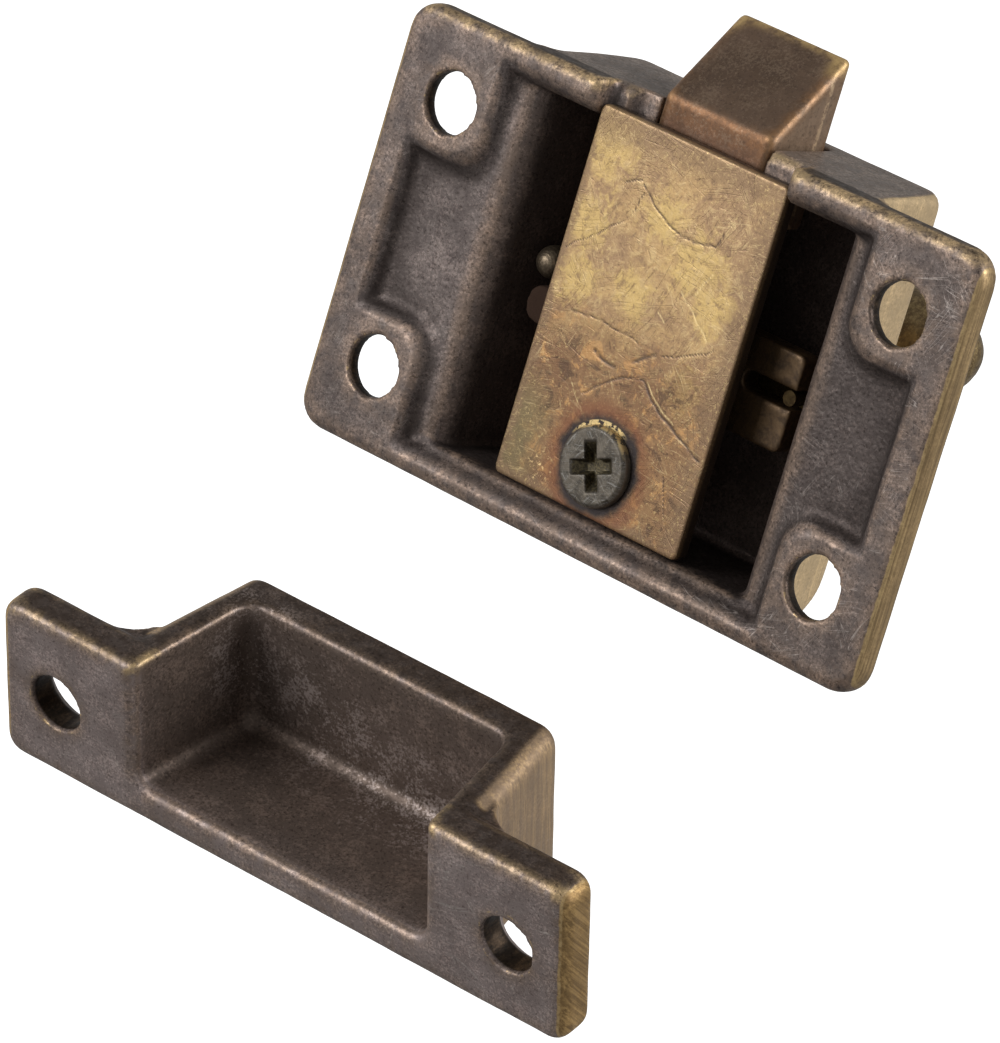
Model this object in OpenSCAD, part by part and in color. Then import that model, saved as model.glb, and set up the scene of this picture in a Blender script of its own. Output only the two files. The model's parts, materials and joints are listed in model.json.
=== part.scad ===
// Cupboard turn latch with a spring bolt, and the strike it shoots into.
// Latch sketch frame: x along the plate, y from the back plane to the front, z the way the bolt shoots.

/* [Plate] */
// length of the mounting plate
plate_w = 57.15; // [50:0.05:64]
// height of the mounting plate
plate_h = 34.93; // [30:0.01:40]
// thickness of the plate at its ends
flange_t = 2.4; // [1.8:0.1:3.5]
// corner radius of the plate outline
corner_r = 2.4; // [1:0.1:4]
// rounding of the plate edges
edge_r = 0.8; // [0.3:0.1:1.1]
// half spacing of the screw holes along the plate
hole_x = 22.4; // [20:0.1:24]
// half spacing of the screw holes across the plate
hole_z = 10.8; // [8:0.05:13]
// diameter of the screw holes
hole_d = 4.9; // [4:0.1:6]
// diameter of the countersink on the front
sink_d = 7.3; // [6:0.1:8.5]

/* [Case] */
// depth of the front face from the back plane
case_d = 12.5; // [11:0.1:15]
// half width of the raised case where it leaves the plate
case_base = 16.3; // [15:0.1:18]
// half width of the raised case at its front
case_front = 15.7; // [14:0.1:17]
// fillet between plate and raised case
case_fillet = 1.2; // [0.4:0.1:2]
// rounding of the long front edges
case_round = 1.7; // [0.5:0.1:3]
// rounding of the front edge at the foot
foot_round = 6; // [1:0.1:7]
// rounding of the front edge at the head
head_round = 0.9; // [0.3:0.1:2]
// thickness of the front wall
front_t = 2.2; // [1.5:0.1:3]
// half width of the hollow below its lip
hollow_x = 14.95; // [13:0.05:15.2]
// half width of the hollow at its floor
hollow_floor = 14.3; // [12:0.1:15]
// rounding of the lip of the hollow
lip_r = 2.4; // [1:0.1:3]
// thickness of the head wall
head_wall = 2.77; // [2:0.01:4]
// thickness of the foot wall
foot_wall = 2.97; // [2:0.01:4]
// rounding of the upper side corners of the raised case
shoulder_r = 1.4; // [0.5:0.1:2.5]
// rounding of the notch floor where it meets the head face
notch_r = 0.9; // [0.3:0.1:1.2]
// radius of the scoop beside the bolt
scoop_r = 1.7; // [1:0.1:2]
// depth of the shallow pocket in the back
pocket_d = 1.2; // [0.6:0.1:1.5]
// half width of the shallow pocket
pocket_x = 25; // [22:0.1:26]
// inner edge of the screw pads
pad_x = 18.1; // [17:0.1:20]
// lower edge of the screw pads from the middle
pad_z = 6.4; // [4:0.1:8]
// corner radius of the screw pads
pad_r = 2.8; // [1:0.1:4]

/* [Cover strip] */
// width of the cover strip
strip_w = 18.5; // [14:0.1:22]
// step from the head face down to the upper end of the strip
strip_step = 1.77; // [0.5:0.01:2.5]
// gap between the strip and the foot wall
strip_gap = 0.3; // [0.1:0.05:1]
// outer face of the strip below the back plane
strip_back = 1; // [0.2:0.1:1.5]
// thickness of the cover strip
strip_t = 1.4; // [0.8:0.1:1.8]
// play of the strip in the notch of the head wall
strip_play = 0.15; // [0.05:0.05:0.4]
// height of the fixing screw above the foot of the plate
screw_up = 7.27; // [6.5:0.01:8.5]
// diameter of the screw head
screw_head_d = 6.4; // [5:0.1:7.5]
// height of the screw head
screw_head_t = 0.9; // [0.6:0.1:1.4]
// diameter of the screw shank
screw_d = 2.9; // [2:0.1:3.5]
// radius of the boss that the screw goes into
boss_r = 3; // [2.4:0.1:3.4]
// width of the cross slot
cross_w = 1.2; // [0.6:0.1:1.4]
// length of the cross slot
cross_l = 4.2; // [2.5:0.1:4.5]

/* [Bolt] */
// width of the bolt
bolt_w = 10.8; // [9:0.1:13]
// gap between the strip and the back face of the bolt
bolt_gap = 0.4; // [0.2:0.05:0.8]
// length of the back face that stands out of the case
bolt_out = 0.54; // [0.2:0.01:2]
// angle of the bevel from the way the bolt shoots
bevel_a = 44.5; // [35:0.5:60]
// rounding where the bevel starts
bevel_r = 1.2; // [0.4:0.1:2]
// rounding of the tip
tip_r = 0.6; // [0.3:0.1:1]
// rounding of the long edges of the bolt
bolt_r = 0.7; // [0.3:0.1:1.2]
// height of the casting seam on the side of the bolt
seam_h = 0.12; // [0.05:0.01:0.15]
// step from the front face of the bolt to the casting seam
seam_in = 1.8; // [1:0.1:4]
// play of the bolt in its slot
bolt_play = 0.3; // [0.1:0.05:0.5]
// gap between the tail and the peened end of the spindle
tail_gap = 0.4; // [0.2:0.05:0.8]
// gap between the drawn head of the bolt and the crank hub
head_gap = 0.53; // [0.3:0.01:1]
// lower end of the tail
tail_z = -4.3; // [-6:0.1:-3]
// reach of the fork arm
fork_x = 12.6; // [11:0.1:13]
// top of the fork arm
fork_z = 3.5; // [2.5:0.1:4]
// thickness of the fork arm
fork_t = 2.1; // [1.4:0.1:2.4]
// gap between the fork arm and the crank
fork_gap = 0.4; // [0.2:0.05:0.8]
// width of the fork slot
fork_slot = 1.6; // [1.4:0.1:2.4]
// inner end of the fork slot
fork_in = 7.6; // [6.5:0.1:8.6]
// reach of the stop ear
ear_x = 12.8; // [11:0.1:13.2]
// travel of the bolt
bolt_travel = 6.87; // [5:0.01:7]

/* [Spring] */
// gap between the spring and the back face of the bolt
spring_in = 0.35; // [0.1:0.05:0.6]
// gap between the spring and the peened end of the spindle
spring_gap = 0.65; // [0.3:0.05:1]
// side play of the spring in its pocket
spring_side = 0.25; // [0.1:0.05:0.5]
// diameter of the spring wire
wire_d = 0.5; // [0.3:0.05:0.8]
// turns of the spring
spring_turns = 9; // [5:1:12]
// solid head above the spring pocket
pocket_wall = 1.3; // [0.5:0.1:3]

/* [Turn knob] */
// half length of the oval
knob_a = 12.6; // [9:0.1:15]
// radius of the oval
knob_r = 5.6; // [4:0.1:7.5]
// depth of the middle of the oval
knob_d = 28; // [24:0.1:32]
// resting angle of the oval
knob_rest = 15; // [0:1:20]
// radius of the spindle
spindle_r = 3; // [2.5:0.1:3.5]
// running clearance of the spindle in the front wall
spindle_play = 0.08; // [0.02:0.01:0.1]
// radius of the collar that rests on the front
collar_r = 5; // [4:0.1:6.5]
// end play of the spindle
end_play = 0.3; // [0.2:0.05:0.5]
// thickness of the collar
collar_t = 1; // [0.6:0.1:2]
// radius of the stem at its neck
neck_r = 3.4; // [2.8:0.1:4]
// radius of the stem in the oval
root_r = 4; // [3:0.1:5]
// side of the square end of the spindle
square_s = 4; // [3:0.1:4.2]
// thickness of the peened end of the spindle
peen_t = 0.4; // [0.2:0.05:0.6]
// radius of the peened end of the spindle
peen_r = 2.7; // [2.1:0.1:3]

/* [Crank] */
// radius of the crank
crank_r = 12; // [11:0.1:12.2]
// radius of the rounded crank end
crank_end = 1.7; // [1.2:0.1:2]
// radius of the crank hub
hub_r = 3.5; // [3.1:0.1:3.6]
// thickness of the crank arm
arm_t = 1.8; // [1.2:0.1:2.2]
// thickness of the crank hub
hub_t = 2.6; // [2.2:0.1:3]
// play of the hub on the square
square_play = 0.05; // [0.02:0.01:0.1]
// step of the crank pin inside the fork
pin_in = 0.3; // [0.1:0.05:0.8]
// radius of the crank pin
pin_r = 0.6; // [0.5:0.05:0.7]

/* [Stop pin] */
// place of the stop pin along the plate
stop_x = -12.6; // [-13:0.1:-11]
// place of the stop pin across the plate
stop_z = 1.5; // [1:0.1:2]
// radius of the stop pin
stop_r = 1.3; // [0.8:0.1:1.6]
// domed end of the stop pin below the back plane
stop_d = 4; // [3:0.1:6]
// depth of the stop pin in the front wall
stop_in = 1.2; // [0.8:0.1:1.6]
// gap between the stop pin and the ear
stop_gap = 0.3; // [0.1:0.05:0.6]

/* [Strike] */
// length of the strike
strike_l = 53.5; // [48:0.1:60]
// height of the strike
strike_h = 14.3; // [12:0.1:16]
// thickness of the end tabs
tab_t = 3.5; // [2.5:0.1:4.5]
// spacing of the strike screw holes
strike_span = 42.8; // [40:0.1:48]
// diameter of the strike screw holes
strike_hole_d = 4.7; // [4:0.1:6]
// height of the screw holes from the middle of the tabs
strike_hole_z = -0.2; // [-2:0.1:2]
// half width of the box where it leaves the tabs
box_base = 16.9; // [15:0.1:18]
// half width of the box at its front
box_front = 14.7; // [13:0.1:16]
// depth of the box
box_d = 14.7; // [12:0.1:16]
// half width of the hollow at the back
cup_base = 13.8; // [12:0.1:14.4]
// half width of the hollow at its front wall
cup_front = 12.3; // [11:0.1:13.5]
// depth of the hollow
cup_d = 11.6; // [9:0.1:13]
// thickness of the floor
strike_floor = 3; // [1.5:0.1:3.5]
// corner radius of the tabs and the box
strike_r = 1.6; // [1.1:0.1:2]
// fillet between the tabs and the box
strike_fillet = 1.8; // [0.5:0.1:3]
// corner radius of the hollow
cup_r = 1.4; // [0.3:0.1:2]
// rounding of the lip of the hollow
cup_lip = 0.8; // [0.3:0.1:1.2]
// countersink of the strike screw holes
strike_sink = 1.2; // [0.5:0.1:1.6]
// rounding of the rims
rim_r = 1; // [0.3:0.1:1.2]
// turn of the strike about the X axis
strike_turn_x = 4.2; // [-10:0.1:10]
// turn of the strike about the Y axis
strike_turn_y = -3.3; // [-10:0.1:10]
// turn of the strike about the Z axis
strike_turn_z = 26.4; // [0:0.1:45]
// place of the strike along X
strike_at_x = -35.6; // [-60:0.1:-25]
// place of the strike along Y
strike_at_y = 30.3; // [0:0.1:60]
// place of the strike along Z
strike_at_z = 3.9; // [-20:0.1:20]

/* [Hidden] */
$fn = 48;
floor_d = case_d - front_t;
head = plate_h / 2;
hollow_top = head - head_wall;
hollow_foot = -head + foot_wall;
seat_d = strip_back + strip_t;
strip_top = head - strip_step;
strip_foot = hollow_foot + strip_gap;
screw_z = -head + screw_up;
boss_top = screw_z + boss_r;
hub_back = floor_d - end_play - hub_t;
peen_back = hub_back - peen_t;
bolt_back = seat_d + bolt_gap;
bolt_front = floor_d - bolt_play;
bevel_z = head + bolt_out;
tip_y = bolt_front - tip_r;
tip_c = bevel_z + ((tip_y - bolt_back) * cos(bevel_a) - tip_r) / sin(bevel_a);
tip_z = tip_c + tip_r;
tail_front = peen_back - tail_gap;
head_z = hub_r + bolt_travel + head_gap;
fork_front = hub_back - fork_gap;
fork_back = fork_front - fork_t;
spring_d = peen_back - bolt_back - spring_in - spring_gap;
spring_y = bolt_back + spring_in + spring_d / 2;
pocket_top = head_z - pocket_wall;
spring_foot = boss_top + 0.05;
spring_head = pocket_top - 0.05;
eps = 0.01;

function arc(cx, cy, r, a0, a1, n) =
    [for (i = [0:n]) let (a = a0 + (a1 - a0) * i / n) [cx + r * cos(a), cy + r * sin(a)]];
function both(pts) = concat(pts, [for (i = [len(pts) - 1:-1:0]) [-pts[i][0], pts[i][1]]]);

// latch sketch frame to the row frame: bolt along +X, back plane at Y 0, plate along Z
module to_row() {
    multmatrix([[0, 0, 1, 0], [0, -1, 0, 0], [1, 0, 0, 0], [0, 0, 0, 1]]) children();
}

// outline in x and z, run through a range of depth
module through(d0, d1) {
    translate([0, d1, 0]) rotate([90, 0, 0]) linear_extrude(d1 - d0) children();
}

// outline in x and depth, run through a range of z
module upward(z0, z1) {
    translate([0, 0, z0]) linear_extrude(z1 - z0) children();
}

// outline in z and depth, run through a range of x
module across(x0, x1) {
    translate([x1, 0, 0]) rotate([0, -90, 0]) linear_extrude(x1 - x0) children();
}

// round bar along the depth
module bar(x, z, r, d0, d1, r2 = -1) {
    translate([x, d0, z]) rotate([-90, 0, 0]) cylinder(h = d1 - d0, r1 = r, r2 = r2 < 0 ? r : r2);
}

module box_outline(x0, x1, z0, z1, r) {
    translate([x0 + r, z0 + r]) offset(r) square([x1 - x0 - 2 * r, z1 - z0 - 2 * r]);
}

// ring of points round a rectangle with rounded corners
function ring(x0, x1, z0, z1, r, n = 5) = concat(arc(x0 + r, z0 + r, r, 180, 270, n),
    arc(x1 - r, z0 + r, r, 270, 360, n), arc(x1 - r, z1 - r, r, 0, 90, n), arc(x0 + r, z1 - r, r, 90, 180, n));

// skin through rings at rising depths, each [depth, ring]
module loft(rings) {
    m = len(rings[0][1]);
    k = len(rings);
    polyhedron([for (g = rings, p = g[1]) [p[0], g[0], p[1]]],
        concat([[for (i = [m - 1:-1:0]) i]], [[for (i = [0:m - 1]) (k - 1) * m + i]],
            [for (g = [0:k - 2], i = [0:m - 1]) [g * m + i, g * m + (i + 1) % m, g * m + m + (i + 1) % m]],
            [for (g = [0:k - 2], i = [0:m - 1]) [g * m + i, g * m + m + (i + 1) % m, g * m + m + i]]));
}

// slab with rounded edges front and back
module soft_slab(w, h, t, rc, re, n = 4) {
    steps = concat([for (i = [0:n]) [re * (1 - cos(90 * i / n)), re * (1 - sin(90 * i / n))]],
        [for (i = [n:-1:0]) [t - re * (1 - cos(90 * i / n)), re * (1 - sin(90 * i / n))]]);
    loft([for (s = steps) [s[0], ring(-w / 2 + s[1], w / 2 - s[1], -h / 2 + s[1], h / 2 - s[1], rc - s[1])]]);
}

// half width of the raised case at a depth: fillet, drafted wall, rounded front edge
function wall_x(d, foot = flange_t + case_fillet, top = case_d - case_round) = d <= flange_t ?
    case_base + case_fillet : d < foot ? case_base + case_fillet - sqrt(pow(case_fillet, 2) - pow(foot - d, 2)) :
    d < top ? case_base + (case_front - case_base) * (d - foot) / (top - foot) :
    case_front - case_round + sqrt(max(0, pow(case_round, 2) - pow(d - top, 2)));
// how far a rounded front edge stands back at a depth
function set_back(d, r) = d <= case_d - r ? 0 : r - sqrt(max(0, pow(r, 2) - pow(d - case_d + r, 2)));
// corner radius of the raised case, growing from the plate to the front
function shoulder(d) = 0.3 + (shoulder_r - 0.3) * pow(max(0, d - flange_t) / (case_d - flange_t), 3);

module raised() {
    levels = concat([1], [for (i = [0:5]) flange_t + case_fillet * i / 5],
        [for (i = [0:14]) case_d - foot_round * (1 - sin(90 * i / 14))]);
    loft([for (d = levels) [d, ring(-wall_x(d), wall_x(d), -head + set_back(d, foot_round),
        head - set_back(d, head_round), shoulder(d))]]);
}

// shallow pocket in the back, less the four screw pads, both with soft walls
module pocket() {
    slope = [[-0.8, 0.9], [0, 0.75], [0.12, 0.42], [0.34, 0.13], [0.62, -0.1], [0.88, -0.38], [1, -0.75]];
    difference() {
        loft([for (s = slope) [s[0] * pocket_d, ring(-pocket_x - s[1], pocket_x + s[1], -15.4 - s[1],
            15.1 + s[1], 1.2 + s[1])]]);
        for (i = [-1, 1], k = [-1, 1])
            loft([for (s = concat(slope, [[1.1, -0.8]])) [s[0] * pocket_d,
                ring(min(i * (pad_x + s[1]), i * plate_w), max(i * (pad_x + s[1]), i * plate_w),
                    min(k * (pad_z + s[1]), k * plate_h), max(k * (pad_z + s[1]), k * plate_h), pad_r, 6)]]);
    }
}

module hollow() {
    right = concat([[hollow_x + lip_r, -1], [hollow_x + lip_r, pocket_d]],
        arc(hollow_x + lip_r, pocket_d + lip_r, lip_r, 270, 180, 8),
        arc(hollow_floor - 1, floor_d - 1, 1, 0, 90, 4));
    upward(hollow_foot, hollow_top) polygon(both(right));
}

module case() {
    color([0.33, 0.28, 0.25]) to_row() {
        difference() {
            union() {
                soft_slab(plate_w, plate_h, flange_t, corner_r, edge_r);
                raised();
            }
            pocket();
            hollow();
            loft([for (s = [[-1, 1.2], [0, 0.85], [0.12, 0.5], [0.35, 0.2], [0.7, 0.04], [1, 0], [seat_d, 0]])
                [s[0], ring(-strip_w / 2 - strip_play - s[1], strip_w / 2 + strip_play + s[1], 10, plate_h, 0.3)]]);
            through(seat_d - eps, floor_d)
                box_outline(-bolt_w / 2 - bolt_play, bolt_w / 2 + bolt_play, 10, plate_h, 0.3);
            across(-strip_w / 2 - strip_play, strip_w / 2 + strip_play) difference() {
                translate([head, seat_d]) square(2 * notch_r, center = true);
                translate([head - notch_r, seat_d + notch_r]) circle(notch_r);
            }
            upward(hollow_top - 1, head + 1)
                translate([-bolt_w / 2 - bolt_play - scoop_r / 2, seat_d - scoop_r / 2]) circle(scoop_r);
            for (i = [-1, 1], k = [-1, 1]) {
                bar(i * hole_x, k * hole_z, hole_d / 2, -1, flange_t + 1);
                bar(i * hole_x, k * hole_z, hole_d / 2, flange_t - (sink_d - hole_d) / 2, flange_t, sink_d / 2);
                bar(i * hole_x, k * hole_z, sink_d / 2, flange_t - eps, case_d + 1);
            }
            bar(0, 0, spindle_r + spindle_play, floor_d - 1, case_d + 1);
            bar(stop_x, stop_z, stop_r + 0.02, floor_d - 1, floor_d + stop_in);
        }
        difference() {
            union() {
                bar(0, screw_z, boss_r, seat_d, floor_d + eps);
                translate([-2.4, seat_d, screw_z]) cube([4.8, floor_d - seat_d + eps, boss_r]);
            }
            bar(0, screw_z, screw_d / 2 + 0.05, seat_d - 1, floor_d - 1);
        }
    }
}

module stop_pin() {
    color([0.62, 0.5, 0.3]) to_row() translate([stop_x, floor_d + stop_in - 0.05, stop_z]) rotate([90, 0, 0])
        rotate_extrude() polygon(concat([[0, 0], [stop_r, 0]],
            arc(0, floor_d + stop_in - 0.05 - stop_d - stop_r, stop_r, 0, 90, 8)));
}

module cover_strip() {
    color([0.62, 0.48, 0.28]) to_row() difference() {
        through(strip_back, seat_d) box_outline(-strip_w / 2, strip_w / 2, strip_foot, strip_top, 0.5);
        bar(0, screw_z, screw_d / 2 + 0.3, 0, seat_d + 1);
    }
}

module strip_screw() {
    r = screw_head_d / 2;
    color([0.2, 0.2, 0.2]) to_row() difference() {
        union() {
            translate([0, strip_back, screw_z]) rotate([90, 0, 0]) rotate_extrude()
                polygon(concat([[0, 0], [r, 0]], arc(r - 0.5, screw_head_t - 0.5, 0.5, 0, 70, 5),
                    [[0, screw_head_t]]));
            bar(0, screw_z, screw_d / 2, strip_back - eps, floor_d - 2);
        }
        for (a = [-22, 68]) translate([0, strip_back - screw_head_t, screw_z]) rotate([0, a, 0]) hull() {
            translate([-cross_l / 2, -0.1, -cross_w / 2]) cube([cross_l, 0.05, cross_w]);
            translate([-cross_l / 4, 1, -cross_w / 3]) cube([cross_l / 2, 0.1, cross_w * 2 / 3]);
        }
    }
}

module bolt() {
    w = bolt_w / 2;
    b = spring_d / 2 + spring_side;
    side = concat([[head_z, bolt_back]],
        arc(bevel_z - bevel_r * tan(bevel_a / 2), bolt_back + bevel_r, bevel_r, -90, bevel_a - 90, 5),
        arc(tip_c, tip_y, tip_r, bevel_a - 90, 90, 8), [[head_z, bolt_front]]);
    color([0.38, 0.27, 0.19]) to_row() difference() {
        union() {
            intersection() {
                across(-w, w) polygon(side);
                upward(0, 2 * plate_h) box_outline(-w, w, bolt_back, bolt_front, bolt_r);
                through(0, case_d) box_outline(-w, w, -plate_h, tip_z, bolt_r);
                translate([0, bolt_back, bevel_z]) rotate([-bevel_a, 0, 0]) translate([0, 0, -plate_h])
                    linear_extrude(2 * plate_h) box_outline(-w, w, 0, plate_h, bolt_r);
            }
            upward(head_z, bevel_z + 0.65 * (tip_z - bevel_z)) translate([w, bolt_front - seam_in])
                polygon([[-seam_h, -2 * seam_h], [seam_h, 0], [-seam_h, 2 * seam_h]]);
            through(bolt_back, tail_front) box_outline(-w, w, tail_z, head_z + 1, 0.3);
            through(fork_back, fork_front) difference() {
                box_outline(0, fork_x, tail_z, fork_z, 0.6);
                box_outline(fork_in, 2 * fork_x, -fork_slot / 2, fork_slot / 2, 0.49 * fork_slot);
            }
            through(bolt_back + 0.9, tail_front - 0.5)
                box_outline(-ear_x, 0, -3, stop_z - stop_r - stop_gap, 1.2);
        }
        through(bolt_back - 1, spring_y + b) translate([-b, -plate_h]) square([2 * b, plate_h + pocket_top]);
        through(0, case_d) translate([-boss_r - 0.5, -plate_h])
            square([2 * boss_r + 1, plate_h + boss_top + bolt_travel + 0.4]);
    }
}

module bolt_spring() {
    rm = (spring_d - wire_d) / 2;
    n = 16;
    k = 6;
    len = spring_head - spring_foot - wire_d;
    steps = spring_turns * n;
    pts = [for (i = [0:steps], j = [0:k - 1]) let (t = i / steps, e = 0.75 / spring_turns,
        s = t < e ? 0.1 * t / e : t > 1 - e ? 1 - 0.1 * (1 - t) / e : 0.1 + 0.8 * (t - e) / (1 - 2 * e),
        a = 360 * i / n, q = 360 * j / k, r = rm + wire_d / 2 * cos(q))
        [r * cos(a), r * sin(a), spring_foot + wire_d / 2 + s * len + wire_d / 2 * sin(q)]];
    faces = concat([[for (j = [0:k - 1]) j], [for (j = [k - 1:-1:0]) steps * k + j]],
        [for (i = [0:steps - 1], j = [0:k - 1]) [i * k + j, (i + 1) * k + j, i * k + (j + 1) % k]],
        [for (i = [0:steps - 1], j = [0:k - 1])
            [(i + 1) * k + j, (i + 1) * k + (j + 1) % k, i * k + (j + 1) % k]]);
    color([0.7, 0.68, 0.6]) to_row() translate([0, spring_y, 0]) polyhedron(pts, faces);
}

module knob() {
    base = case_d + end_play;
    rise = knob_d - base;
    color([0.5, 0.38, 0.2]) to_row() {
        translate([0, knob_d, 0]) rotate([0, -knob_rest, 0]) rotate([0, 90, 0]) rotate_extrude($fn = 64)
            polygon([for (i = [0:32]) let (a = -90 + 180 * i / 32) [knob_r * cos(a), knob_a * sin(a)]]);
        translate([0, base, 0]) rotate([-90, 0, 0]) rotate_extrude()
            polygon(concat([[0, 0], [collar_r, 0], [collar_r, collar_t]],
                [for (i = [0:8]) let (t = i / 8) [neck_r + (collar_r - neck_r - 0.4) * pow(1 - t, 2),
                    collar_t + 0.4 + (rise - knob_r + 2) * 0.9 * t]],
                [[root_r, rise], [0, rise]]));
        bar(0, 0, spindle_r, floor_d - end_play, base + eps);
        through(hub_back - eps, floor_d - end_play + eps) square(square_s, center = true);
        bar(0, 0, peen_r, peen_back, hub_back);
    }
}

module crank() {
    color([0.66, 0.5, 0.24]) to_row() {
        difference() {
            union() {
                bar(0, 0, hub_r, hub_back, floor_d - end_play);
                through(hub_back, hub_back + arm_t) {
                    translate([0, -crank_end]) square([crank_r, 2 * crank_end]);
                    translate([crank_r, 0]) circle(crank_end);
                }
            }
            through(hub_back - 1, floor_d) square(square_s + 2 * square_play, center = true);
        }
        bar(crank_r, 0, pin_r, fork_back + pin_in, hub_back + eps);
    }
}

// outline of the hollow from above, grown by o: length across and depth downwards
function cup_ring(o) = concat(arc(-cup_front + cup_r, -cup_d + cup_r, cup_r + o, 180, 270, 5),
    arc(cup_front - cup_r, -cup_d + cup_r, cup_r + o, 270, 360, 5), [[cup_base + o, 1], [-cup_base - o, 1]]);

module strike_body() {
    h = strike_h / 2;
    lip = [[0.9, 0], [0.45, 0.12], [0.15, 0.42], [0, 0.8], [-1.2, 1.2]];
    function wall(d) = box_base + (box_front - box_base) * d / box_d;
    function inner(d) = cup_base + (cup_front - cup_base) * d / cup_d;
    difference() {
        union() {
            soft_slab(strike_l, strike_h, tab_t, strike_r, rim_r);
            loft(concat([[rim_r, ring(-wall(0), wall(0), -h, h, strike_r)]],
                [for (i = [0:5]) let (d = tab_t + strike_fillet * i / 5,
                    o = strike_fillet - sqrt(pow(strike_fillet, 2) - pow(strike_fillet - d + tab_t, 2)))
                    [d, ring(-wall(d) - o, wall(d) + o, -h, h, strike_r + 1.5 * o)]],
                [for (i = [0:5]) let (o = rim_r * (1 - cos(18 * i)), e = rim_r * (1 - sin(18 * i)))
                    [box_d - e, ring(-box_front + o, box_front - o, -h + o, h - o, strike_r - o)]]));
        }
        loft(concat([for (i = [4:-1:0]) let (o = lip[i][1] * cup_lip, d = lip[i][0] * cup_lip)
            [d, ring(-inner(d) - o, inner(d) + o, -h + strike_floor - o, 2 * strike_h, cup_r)]],
            [for (i = [0:4]) let (o = cup_r * (1 - cos(18 * i)), d = cup_d - cup_r * (1 - sin(18 * i)))
                [d, ring(-inner(d) + o, inner(d) - o, -h + strike_floor + o, 2 * strike_h, cup_r)]]));
        rotate([90, 0, 0]) loft([for (s = lip) [h - s[0] * cup_lip, cup_ring(s[1] * cup_lip)]]);
        for (i = [-1, 1]) {
            bar(i * strike_span / 2, strike_hole_z, strike_hole_d / 2, -1, tab_t + 1);
            bar(i * strike_span / 2, strike_hole_z, strike_hole_d / 2, tab_t - strike_sink, tab_t,
                strike_hole_d / 2 + strike_sink);
            bar(i * strike_span / 2, strike_hole_z, strike_hole_d / 2 + strike_sink, tab_t - eps, tab_t + 1);
        }
    }
}

module strike() {
    color([0.36, 0.3, 0.26]) translate([strike_at_x, strike_at_y, strike_at_z])
        rotate([strike_turn_x, strike_turn_y, strike_turn_z]) to_row() strike_body();
}

case();
stop_pin();
cover_strip();
strip_screw();
bolt();
bolt_spring();
knob();
crank();
strike();
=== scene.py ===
"""Looks of a cupboard turn latch, seen from its back, and of the strike that lies in front of it."""
import json
import logging
import math
from dataclasses import dataclass
from enum import Enum
from functools import partial, reduce
from typing import Optional, Sequence, Union

import bpy
import numpy as np
from mathutils import Matrix, Vector

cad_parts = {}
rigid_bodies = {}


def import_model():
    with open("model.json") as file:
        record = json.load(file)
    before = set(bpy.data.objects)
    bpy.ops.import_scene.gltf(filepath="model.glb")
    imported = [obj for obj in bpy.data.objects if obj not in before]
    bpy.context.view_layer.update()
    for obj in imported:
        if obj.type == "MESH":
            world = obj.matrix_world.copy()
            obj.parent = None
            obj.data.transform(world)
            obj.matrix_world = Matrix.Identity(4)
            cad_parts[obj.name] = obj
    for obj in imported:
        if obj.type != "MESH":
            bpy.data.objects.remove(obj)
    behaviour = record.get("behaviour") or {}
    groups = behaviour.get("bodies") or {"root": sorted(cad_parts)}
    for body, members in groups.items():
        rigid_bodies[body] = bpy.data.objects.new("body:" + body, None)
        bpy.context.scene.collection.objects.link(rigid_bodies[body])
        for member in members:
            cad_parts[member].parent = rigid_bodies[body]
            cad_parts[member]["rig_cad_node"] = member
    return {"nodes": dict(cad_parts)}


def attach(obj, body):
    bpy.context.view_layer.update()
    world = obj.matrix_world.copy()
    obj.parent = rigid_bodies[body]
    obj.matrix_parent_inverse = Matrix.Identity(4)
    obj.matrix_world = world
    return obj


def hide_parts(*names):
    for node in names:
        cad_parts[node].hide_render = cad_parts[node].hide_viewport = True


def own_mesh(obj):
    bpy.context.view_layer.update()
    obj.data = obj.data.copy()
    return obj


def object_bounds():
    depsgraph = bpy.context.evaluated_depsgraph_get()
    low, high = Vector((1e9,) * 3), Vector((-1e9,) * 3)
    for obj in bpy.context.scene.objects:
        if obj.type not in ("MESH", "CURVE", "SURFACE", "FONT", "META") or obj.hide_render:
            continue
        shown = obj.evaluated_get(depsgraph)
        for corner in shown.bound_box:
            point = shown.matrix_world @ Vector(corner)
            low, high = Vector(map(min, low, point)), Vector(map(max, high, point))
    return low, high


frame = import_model()
CAD_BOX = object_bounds()
LOG = logging.getLogger("cupboard_latch")

Socket = bpy.types.NodeSocket
Sockets = bpy.types.bpy_prop_collection
Value = Union[Socket, float, Sequence[float]]
Triple = tuple[float, float, float]
Colour = Triple
Line = tuple[float, Sequence[tuple[float, float]]]

MM = 1000.0


class Slot(Enum):
    """Material slots of the record."""

    BRONZE = "bronze"
    STRIP = "strip_brass"
    SCREW = "screw_steel"
    BOLT = "bolt_bronze"
    SPRING = "spring_steel"
    WORN = "worn_brass"


class Ridge(Enum):
    """Attributes of a casting that say how far a point stands out, and the smoothing rounds behind each."""

    FINE = ("ridge_fine", 8)
    BROAD = ("ridge_broad", 60)


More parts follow.
